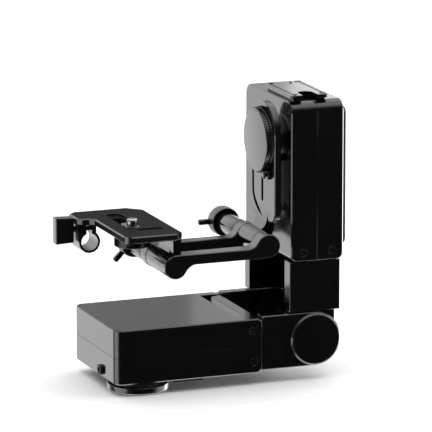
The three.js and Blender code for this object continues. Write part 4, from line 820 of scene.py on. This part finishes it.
# %% Fork and column
EAR_ROUND = 24.1
COLUMN_EDGE, COLUMN_FLOOR = 175.7, 61.2
apron = prism("apron", "Y", [(93.9, 57.2), (86, 49.3), (86, 47), (93.9, 47)], -12.2, 70.6)
block = prism("rear_block", "Y", [(98.6, 50), (104.6, 50), (104.6, 57.7), (98.6, 57.7)], 72.5, 79.6)
dressed("fork_frame", 0.3, joined=[apron, block])
foot = arc(HINGE, EAR_ROUND, range(30, 91, 4)) + [(HINGE[0], COLUMN_FLOOR), (COLUMN_EDGE, COLUMN_FLOOR)]
dressed("column_channel", 0.4, joined=[prism("rear_foot", "Y", foot, 68.95, 79.55)])

# %% [markdown]
# The tilt bar has a curved slot that keeps its width nearly to its pointed end. Its middle line is a
# Bezier curve with four posts, and both sides are set off from it by half the width, as a mill would cut it.


# %% Curved slot
SLOT_POSTS = [Vector((21.5, 164)), Vector((21.5, 153)), Vector((10.25, 146.4)), Vector((-1, 142))]
SLOT_STEPS = 24
SLOT_HALF_WIDTH = 2.2
SLOT_BLUNTNESS = 5


def guide_slot():
    """The bend of the curved slot, through the whole tilt bar."""
    a, b, c, d = SLOT_POSTS
    left, right = [], []
    for i in range(SLOT_STEPS + 1):
        t = i / SLOT_STEPS
        u = 1 - t
        place = u**3 * a + 3 * u * u * t * b + 3 * u * t * t * c + t**3 * d
        run = u * u * (b - a) + 2 * u * t * (c - b) + t * t * (d - c)
        across = Vector((-run.y, run.x)).normalized() * SLOT_HALF_WIDTH * (1 - t**SLOT_BLUNTNESS)
        left.append(place + across)
        right.append(place - across)
    return prism("guide_slot", "X", left + right[-2::-1], 113, 117.45)


dressed("tilt_bar", 0.25, cutters=[guide_slot()])

# %% [markdown]
# The camera plate has two round front corners, and a ledge and a lip that end its long slot. The stud's
# carriage has a round tongue that closes the slot behind the stud. The corners are cut off by blocks with
# a hollow round side, as a bevel on the whole plate would round the rear corners too.


# %% Camera plate and carriage
PLATE_FRONT = -41.5
PLATE_SIDES = ((-25, 1), (27.5, -1))
PLATE_ROUND = 8
CORNER_STEPS = 12
TONGUE_RADIUS, TONGUE_START, TONGUE_MIDDLE = 6.4, 5.05, 8.6


def corner_cutter(x, inward):
    """Takes a square front corner off the plate and leaves a round one."""
    outline = [(x - inward, PLATE_FRONT - 1), (x - inward, PLATE_FRONT + PLATE_ROUND)]
    for i in range(CORNER_STEPS + 1):
        a = math.radians(90 / CORNER_STEPS * i)
        in_x, in_y = PLATE_ROUND * (1 - math.cos(a)), PLATE_ROUND * (1 - math.sin(a))
        outline.append((x + inward * in_x, PLATE_FRONT + in_y))
    outline.append((x + inward * PLATE_ROUND, PLATE_FRONT - 1))
    return prism("corner", "Z", outline, 135, 143)


ledge = rounded_block("ledge", (-11, 41.2, 136.05), (2, 52, 140.2))
lip = rounded_block("lip", (-10.8, 43.3, 133.9), (1.8, 52, 137))
dressed("camera_plate", 0.25, [corner_cutter(x, inward) for x, inward in PLATE_SIDES], [ledge, lip])
tongue = arc((STUD[0], TONGUE_MIDDLE), TONGUE_RADIUS, range(0, 181, 10))
tongue += [(STUD[0] + across, TONGUE_START) for across in (-TONGUE_RADIUS, TONGUE_RADIUS)]
dressed("stud_carriage", 0.1, joined=[prism("tongue", "Z", tongue, 140.86, 141.94)])

# %% [markdown]
# The power socket is a moulded block in the left side of the pan housing. It stands proud of the cover
# with a rim, which is a rounded block joined to the solid, and its mouth is a block cut out of both.

# %% Power socket
rim = rounded_block("socket_rim", (-31.8, 6.4, 12.7), (-26, 14.2, 20.5), SOCKET_ROUNDS, 0, 0.4, 6)
hole = rounded_block("socket_hole", (-33, 8.2, 14.4), (-25.2, 12.4, 18.8))
dressed("power_socket", 0.12, cutters=[hole], joined=[rim])

# %% [markdown]
# Knurled rims and teeth repeat the same small rib many times, which is work for Geometry Nodes.
# One tree puts a three sided rib on every point of a circle and turns each one outward.
# Its inputs are the number of ribs, the radius, the length and the finish, so that one tree serves every
# rim. A modelled rim would need each rib cut by hand.


# %% Pieces grown by a tree
GROWN_DEGREES = 30


def named_tree(name, inputs):
    """A geometry tree with these named inputs, and its group input node."""
    tree = bpy.data.node_groups.new(name, "GeometryNodeTree")
    tree.interface.new_socket("Geometry", in_out="OUTPUT", socket_type="NodeSocketGeometry")
    for label, kind in inputs:
        tree.interface.new_socket(label, in_out="INPUT", socket_type="NodeSocket" + kind)
    return tree, add(tree, "NodeGroupInput").outputs


def grown(name, tree, values, matrix, node, finish, start=None):
    """A plain mesh of what a tree grows with these values, laid in place, riding on the node's body."""
    made = placed_object(name, start or bpy.data.meshes.new(name))
    modifier = made.modifiers.new("grow", "NODES")
    modifier.node_group = tree
    ids = {item.name: item.identifier for item in tree.interface.items_tree if item.in_out == "INPUT"}
    for label, value in {**values, "Finish": FINISHES[finish]}.items():
        modifier[ids[label]] = value
    applied(made)
    made.data.name = name
    made.data.transform(matrix)
    smooth_by_angle(made.data, GROWN_DEGREES)
    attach(made, BODY_OF[node])
    return made


# %% The tree for knurled rims
def knurl_tree():
    labels = [("Ribs", "Int"), ("Radius", "Float"), ("Length", "Float"), ("Depth", "Float")]
    labels += [("Finish", "Material")]
    tree, given = named_tree("knurled_rim", labels)
    # A rib's half width reaches its neighbour, and its point reaches the radius.
    pitch = maths(tree, "DIVIDE", maths(tree, "MULTIPLY", given["Radius"], 2 * math.pi), given["Ribs"])
    reach = maths(tree, "MAXIMUM", maths(tree, "DIVIDE", pitch, math.sqrt(3)), given["Depth"])
    rib = add(tree, "GeometryNodeMeshCylinder", {"Vertices": 3, "Radius": reach, "Depth": given["Length"]})
    middle = maths(tree, "SUBTRACT", given["Radius"], reach)
    circle = add(tree, "GeometryNodeMeshCircle", {"Vertices": given["Ribs"], "Radius": middle})
    step = maths(tree, "DIVIDE", 2 * math.pi, given["Ribs"])
    turn = maths(tree, "MULTIPLY", add(tree, "GeometryNodeInputIndex").outputs[0], step)
    turns = add(tree, "ShaderNodeCombineXYZ", {"Z": turn})
    chosen = {"Points": circle.outputs["Mesh"], "Instance": rib.outputs["Mesh"], "Rotation": turns.outputs[0]}
    placed = add(tree, "GeometryNodeInstanceOnPoints", chosen)
    real = add(tree, "GeometryNodeRealizeInstances", {"Geometry": placed.outputs["Instances"]})
    painted = add(tree, "GeometryNodeSetMaterial", {"Geometry": real.outputs[0], "Material": given["Finish"]})
    add(tree, "NodeGroupOutput", {"Geometry": painted.outputs[0]})
    return tree


KNURL = knurl_tree()


# %% [markdown]
# The knob, its flange, the stud wheel and the two lock rings have a fine rim for the fingers, and the base
# ring has teeth. A turned core stands for the solid, and the ribs are grown round it.


# %% Knurled rims
def knurled(node, axis, centre, core, ribs, radius, depth, start, end):
    """A turned core that stands for the node, and a rim of ribs round it."""
    turned(node, axis, centre, core, 0.2, "_core")
    values = {"Ribs": ribs, "Radius": radius * MM, "Length": (end - start) * MM, "Depth": depth * MM}
    matrix = placed_on(axis, centre) @ moved(0, 0, (start + end) / 2)
    grown(node + "_ribs", KNURL, values, matrix, node, SLOT_OF[node])


low, high = span("tilt_knob", "X")
knob_core = [(0, low), (26.6, low), (27.2, low + 0.5), (27.2, high)]
knob_core += [(2.4, high), (2.4, low + 1.1), (0, low + 1.1)]
knurled("tilt_knob", "X", TILT, knob_core, 72, 28, 1.1, low + 0.7, high - 0.1)
low, high = span("knob_flange", "X")
flange_core = disc(28, low, high, 2.4, 0.2, 0.3)
knurled("knob_flange", "X", TILT, flange_core, 72, 28.8, 1.1, low + 0.1, high - 0.3)
low, high = span("stud_wheel", "Z")
wheel_core = [(5.05, low + 2.2), (5.05, low), (14.2, low), (14.8, low + 0.6), (14.8, low + 7.9)]
wheel_core += [(14.2, low + 8.5), (7, low + 8.5), (7, high), (5.05, high), (5.05, low + 2.2)]
knurled("stud_wheel", "Z", STUD, wheel_core, 64, 15.4, 0.6, low + 0.9, low + 7.6)
low, high = span("base_ring", "Z")
ring_core = disc(24.8, low, high, 17, 0.2, 0.2)
knurled("base_ring", "Z", BASE, ring_core, 80, 25.6, 0.8, low + 0.2, high - 0.2)

# %% [markdown]
# Each lock ring is turned by one square peg. It is a bar with broken edges, laid from the ring's rim
# outward and turned to where the photo shows it.

# %% Lock rings and their pegs
PEG_TURNS = {"right": 180, "left": 225}
PEG_START, PEG_END = 11.5, 22.9
PEG_HALF, PEG_EDGE, PEG_PLACE = 2.35, 0.9, 73.9
PEG_LOW, PEG_HIGH = (PEG_START, -PEG_HALF, -PEG_HALF), (PEG_END, PEG_HALF, PEG_HALF)
for side, pivot in PIVOTS.items():
    node_name = side + "_lock_ring"
    low, high = span(node_name, "Y")
    ring_core = [(11, low), (12, low), (12.4, low + 0.4), (12.4, high - 0.8), (11.6, high)]
    ring_core += [(PIN_BORE, high), (PIN_BORE, low + 3.5), (11, low + 3.5), (11, low)]
    knurled(node_name, "Y", pivot, ring_core, 52, 12.9, 0.5, low + 0.6, high - 1)
    mesh = rounded_block(side + "_peg", PEG_LOW, PEG_HIGH, fine_edge=PEG_EDGE)
    turn = Matrix.Rotation(-math.radians(PEG_TURNS[side]), 4, "Y")
    mesh.transform(moved(pivot[0], PEG_PLACE, pivot[1]) @ turn)
    peg = plain_copy(side + "_lock_peg", mesh, "anodised")
    smooth_by_angle(peg.data, ROUND_DEGREES)
    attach(peg, BODY_OF[node_name])

# %% [markdown]
# The cover screws are all one socket head screw, so they are grown on points by a second tree.
# The head is a cylinder with a cone on top as its chamfer, and a six sided prism cuts the socket,
# much as a real head is headed and then broached. Each screw is turned by a random angle, with a
# fixed seed, because nobody lines up the sockets of real screws.


# %% The tree for socket head screws
def screw_tree():
    sizes = ("Head Radius", "Head Height", "Chamfer", "Socket Radius", "Socket Depth")
    labels = [("Places", "Geometry")] + [(size, "Float") for size in sizes]
    labels += [("Seed", "Int"), ("Finish", "Material")]
    tree, given = named_tree("socket_head_screws", labels)
    radius, height, chamfer = given["Head Radius"], given["Head Height"], given["Chamfer"]

    def placed_at(mesh, z):
        offset = add(tree, "ShaderNodeCombineXYZ", {"Z": z})
        inputs = {"Geometry": mesh, "Translation": offset.outputs[0]}
        return add(tree, "GeometryNodeTransform", inputs).outputs[0]

    straight = maths(tree, "SUBTRACT", height, chamfer)
    body = add(tree, "GeometryNodeMeshCylinder", {"Vertices": 40, "Radius": radius, "Depth": straight})
    tip = maths(tree, "SUBTRACT", radius, chamfer)
    cone_sizes = {"Vertices": 40, "Radius Bottom": radius, "Radius Top": tip, "Depth": chamfer}
    cone = add(tree, "GeometryNodeMeshCone", cone_sizes)
    body = placed_at(body.outputs["Mesh"], maths(tree, "MULTIPLY", straight, 0.5))
    whole = add(tree, "GeometryNodeMeshBoolean", {"Mesh 2": body}, operation="UNION")
    tree.links.new(placed_at(cone.outputs["Mesh"], straight), whole.inputs["Mesh 2"])
    depth = given["Socket Depth"]
    twice = maths(tree, "MULTIPLY", depth, 2)
    key_sizes = {"Vertices": 6, "Radius": given["Socket Radius"], "Depth": twice}
    key = add(tree, "GeometryNodeMeshCylinder", key_sizes)
    socket = placed_at(key.outputs["Mesh"], height)
    cut = {"Mesh 1": whole.outputs["Mesh"], "Mesh 2": socket}
    head = add(tree, "GeometryNodeMeshBoolean", cut, operation="DIFFERENCE")
    limits = {"Min": 0.0, "Max": math.pi / 3, "Seed": given["Seed"]}
    angle = add(tree, "FunctionNodeRandomValue", limits, data_type="FLOAT")
    turns = add(tree, "ShaderNodeCombineXYZ", {"Z": next(o for o in angle.outputs if o.enabled)})
    chosen = {"Points": given["Places"], "Instance": head.outputs["Mesh"], "Rotation": turns.outputs[0]}
    placed = add(tree, "GeometryNodeInstanceOnPoints", chosen)
    real = add(tree, "GeometryNodeRealizeInstances", {"Geometry": placed.outputs["Instances"]})
    painted = add(tree, "GeometryNodeSetMaterial", {"Geometry": real.outputs[0], "Material": given["Finish"]})
    add(tree, "NodeGroupOutput", {"Geometry": painted.outputs[0]})
    return tree


SCREWS = screw_tree()
SCREW_SIZES = {
    "Head Radius": 2.7 * MM,
    "Head Height": 1.6 * MM,
    "Chamfer": 0.35 * MM,
    "Socket Radius": 1.5 * MM,
    "Socket Depth": 1.1 * MM,
}


# %% [markdown]
# The pan housing and the tilt case each have two screws in front and two behind, sunk in their pockets,
# and four hold the rail plate from above. The points lie in a plane that is then turned to face outward.

# %% Screws in place
SUNK = 1.6
RAIL_SEAT = 249 - 1.85
FRONT = Matrix.Rotation(math.pi / 2, 4, "X")
BACK = Matrix.Rotation(math.pi, 4, "Z") @ FRONT


def screwed(name, points, matrix, node, seed, replace=()):
    """Screws whose heads start at these points of a plane, and which stand for some nodes."""
    mesh = bpy.data.meshes.new(name)
    mesh.from_pydata([(x * MM, y * MM, 0) for x, y in points], [], [])
    made = grown(name, SCREWS, {**SCREW_SIZES, "Seed": seed}, matrix, node, "fastener", mesh)
    if replace:
        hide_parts(*replace)
    print(name, len(made.data.polygons), "faces")


for name, places, front, back, node_name in (
    ("pan_screws", PAN_SCREWS, PAN_FRONT, PAN_BACK, "pan_shell_lower"),
    ("case_screws", CASE_SCREWS, CASE_FRONT, CASE_BACK, "case_inner_shell"),
):
    front_plane = moved(0, front + SUNK, 0) @ FRONT
    back_plane = moved(0, back - SUNK, 0) @ BACK
    known = [n for n in frame["nodes"] if n.startswith(name[:-1] + "_")]
    fronts = [n for n in known if "front" in n]
    backs = [n for n in known if "back" in n]
    screwed(name + "_front", places, front_plane, node_name, 3, fronts)
    screwed(name + "_back", [(-x, z) for x, z in places], back_plane, node_name, 7, backs)
rail_places = [(x, y) for x in (136.6, 161.4) for y in (-17.9, 37.9)]
screwed("rail_screws", rail_places, moved(0, 0, RAIL_SEAT), "rail_plate", 5)

# %% [markdown]
# The head stands on a plain pale floor of studio paper, which takes a soft shadow. A flat square is
# enough for it. Reflections pass through it, so that low edges mirror the studio and not the paper.


# %% Floor
FLOOR_HALF = 3.0
FLOOR_DROP = 0.0005

mesh = bpy.data.meshes.new("floor")
z = cad_low[2] - FLOOR_DROP
corners = [(x * FLOOR_HALF, y * FLOOR_HALF, z) for x, y in ((-1, -1), (1, -1), (1, 1), (-1, 1))]
mesh.from_pydata(corners, [], [(0, 1, 2, 3)])
floor = placed_object("floor", mesh)
material, tree, shader, place = start_finish("studio_paper")
fibre = grain(tree, place, 12, 4.0)
tree.links.new(tint(tree, fibre, "#efefef", "#f4f4f4"), shader.inputs["Base Color"])
shader.inputs["Roughness"].default_value = 0.9
output = next(node for node in tree.nodes if node.type == "OUTPUT_MATERIAL")
open_air = add(tree, "ShaderNodeBsdfTransparent").outputs[0]
mirrored = add(tree, "ShaderNodeLightPath").outputs["Is Glossy Ray"]
shown = add(tree, "ShaderNodeMixShader", {0: mirrored, 1: shader.outputs["BSDF"], 2: open_air})
tree.links.new(shown.outputs[0], output.inputs["Surface"])
mesh.materials.append(material)
floor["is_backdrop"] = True
print("floor", round(2 * FLOOR_HALF, 1), "m wide")

# %% [markdown]
# The background is the white of a catalogue picture, so the world is white to the camera. To everything
# else it is a studio: bright above, behind and to the left, and dark in front, as in the photo, which
# draws the bright tops and edges on black metal. Each part of it is a smooth ramp along one axis of the
# view, given as start, end and level. A picture of a real studio would do too, but ramps can be tuned.


# %% Surroundings
DARK_LEVEL = 0.012
ROOM_LIGHT = (-0.8, -0.35, 1.72)
WALL_SHADE = (-0.25, 0.4, 0.8)
WALL_START = (0.55, 0.85, 1.0)
CEILING_LIGHT = (0.4, 0.9, 0.5)
RIGHT_PANEL = (0.75, 0.9, 1.0)
RIGHT_STRIP = (0.12, 0.3, 7.0)
LEFT_PANEL = (-0.82, -0.91, 2.6)
CORNER_SHADE = (-0.45, -0.65, 0.8)
LOW_HALF = (-0.02, -0.12, 1.0)
LOW_PANEL = (-0.75, -0.88, 1.3)


def make_world():
    """White to the camera, and to everything else a studio."""
    world = bpy.data.worlds.new("studio")
    bpy.context.scene.world = world
    world.use_nodes = True
    tree = world.node_tree
    tree.nodes.clear()
    way = add(tree, "ShaderNodeTexCoord").outputs["Generated"]
    along = add(tree, "ShaderNodeSeparateXYZ", {"Vector": way}).outputs

    def ramp(axis, start, end, level):
        inputs = {"Value": along[axis], "From Min": start, "From Max": end, "To Min": 0.0, "To Max": level}
        return add(tree, "ShaderNodeMapRange", inputs, interpolation_type="SMOOTHSTEP").outputs["Result"]

    shade = maths(tree, "MULTIPLY", ramp("X", *WALL_SHADE), ramp("Y", *WALL_START))
    walls = maths(tree, "MULTIPLY", ramp("Y", *ROOM_LIGHT), maths(tree, "SUBTRACT", 1.0, shade))
    corner = maths(tree, "SUBTRACT", 1.0, ramp("X", *CORNER_SHADE))
    walls = maths(tree, "MULTIPLY", walls, corner)
    above = maths(tree, "ADD", walls, ramp("Z", *CEILING_LIGHT))
    below = ramp("Z", *LOW_HALF)
    strip = maths(tree, "ADD", 1.0, maths(tree, "MULTIPLY", ramp("Y", *RIGHT_STRIP), below))
    right = maths(tree, "MULTIPLY", ramp("X", *RIGHT_PANEL), strip)
    aside = maths(tree, "ADD", right, maths(tree, "MULTIPLY", ramp("X", *LEFT_PANEL), below))
    edges = maths(tree, "ADD", aside, ramp("Z", *LOW_PANEL))
    level = maths(tree, "ADD", maths(tree, "ADD", above, edges), DARK_LEVEL)
    lit = add(tree, "ShaderNodeBackground", {"Color": linear("#ffffff"), "Strength": level})
    white = add(tree, "ShaderNodeBackground", {"Color": linear("#ffffff"), "Strength": 1.0})
    seen = add(tree, "ShaderNodeLightPath").outputs["Is Camera Ray"]
    shown = add(tree, "ShaderNodeMixShader", {0: seen, 1: lit.outputs[0], 2: white.outputs[0]})
    add(tree, "ShaderNodeOutputWorld", {"Surface": shown.outputs[0]})


make_world()
print("world", bpy.context.scene.world.name)

# %% [markdown]
# Two softboxes stand behind and to the right of the head. The larger one points at its foot. The smaller
# one points past it, so that its light reaches the head only at a slant. Area lamps are used, because
# their size sets how soft the shadow on the paper is.


# %% Lamps
def make_lamp(name, place, target, width, height, watts):
    data = bpy.data.lights.new(name, "AREA")
    data.shape = "RECTANGLE"
    data.size = width
    data.size_y = height
    data.energy = watts
    lamp = placed_object(name, data)
    lamp.location = place
    lamp.rotation_mode = "QUATERNION"
    lamp.rotation_quaternion = (Vector(target) - Vector(place)).to_track_quat("-Z", "Y")


make_lamp("softbox_back", (1.3, 1.7, 0.55), (0.08, 0.03, 0.06), 0.9, 0.5, 1.5)
make_lamp("softbox_near", (0.65, 0.85, 0.33), (0.65, 0, 0.33), 0.56, 0.56, 0.3)
print("lamps", len(bpy.data.lights))

# %% [markdown]
# The plain view transform keeps white at white. A filmic one would turn the background grey.

# %% Picture settings
bpy.context.scene.view_settings.view_transform = "Standard"
print("view", bpy.context.scene.view_settings.view_transform)

# %% [markdown]
# Last, the box of the CAD solids and the box of what is seen here are written side by side. They have to
# agree, because whoever uses the part places it by the first and sees the second.

# %% Size and finish
low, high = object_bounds()
print("cad", [round(v * 1000, 1) for v in (*cad_low, *cad_high)])
print("visual", [round(v * 1000, 1) for v in (*low, *high)])
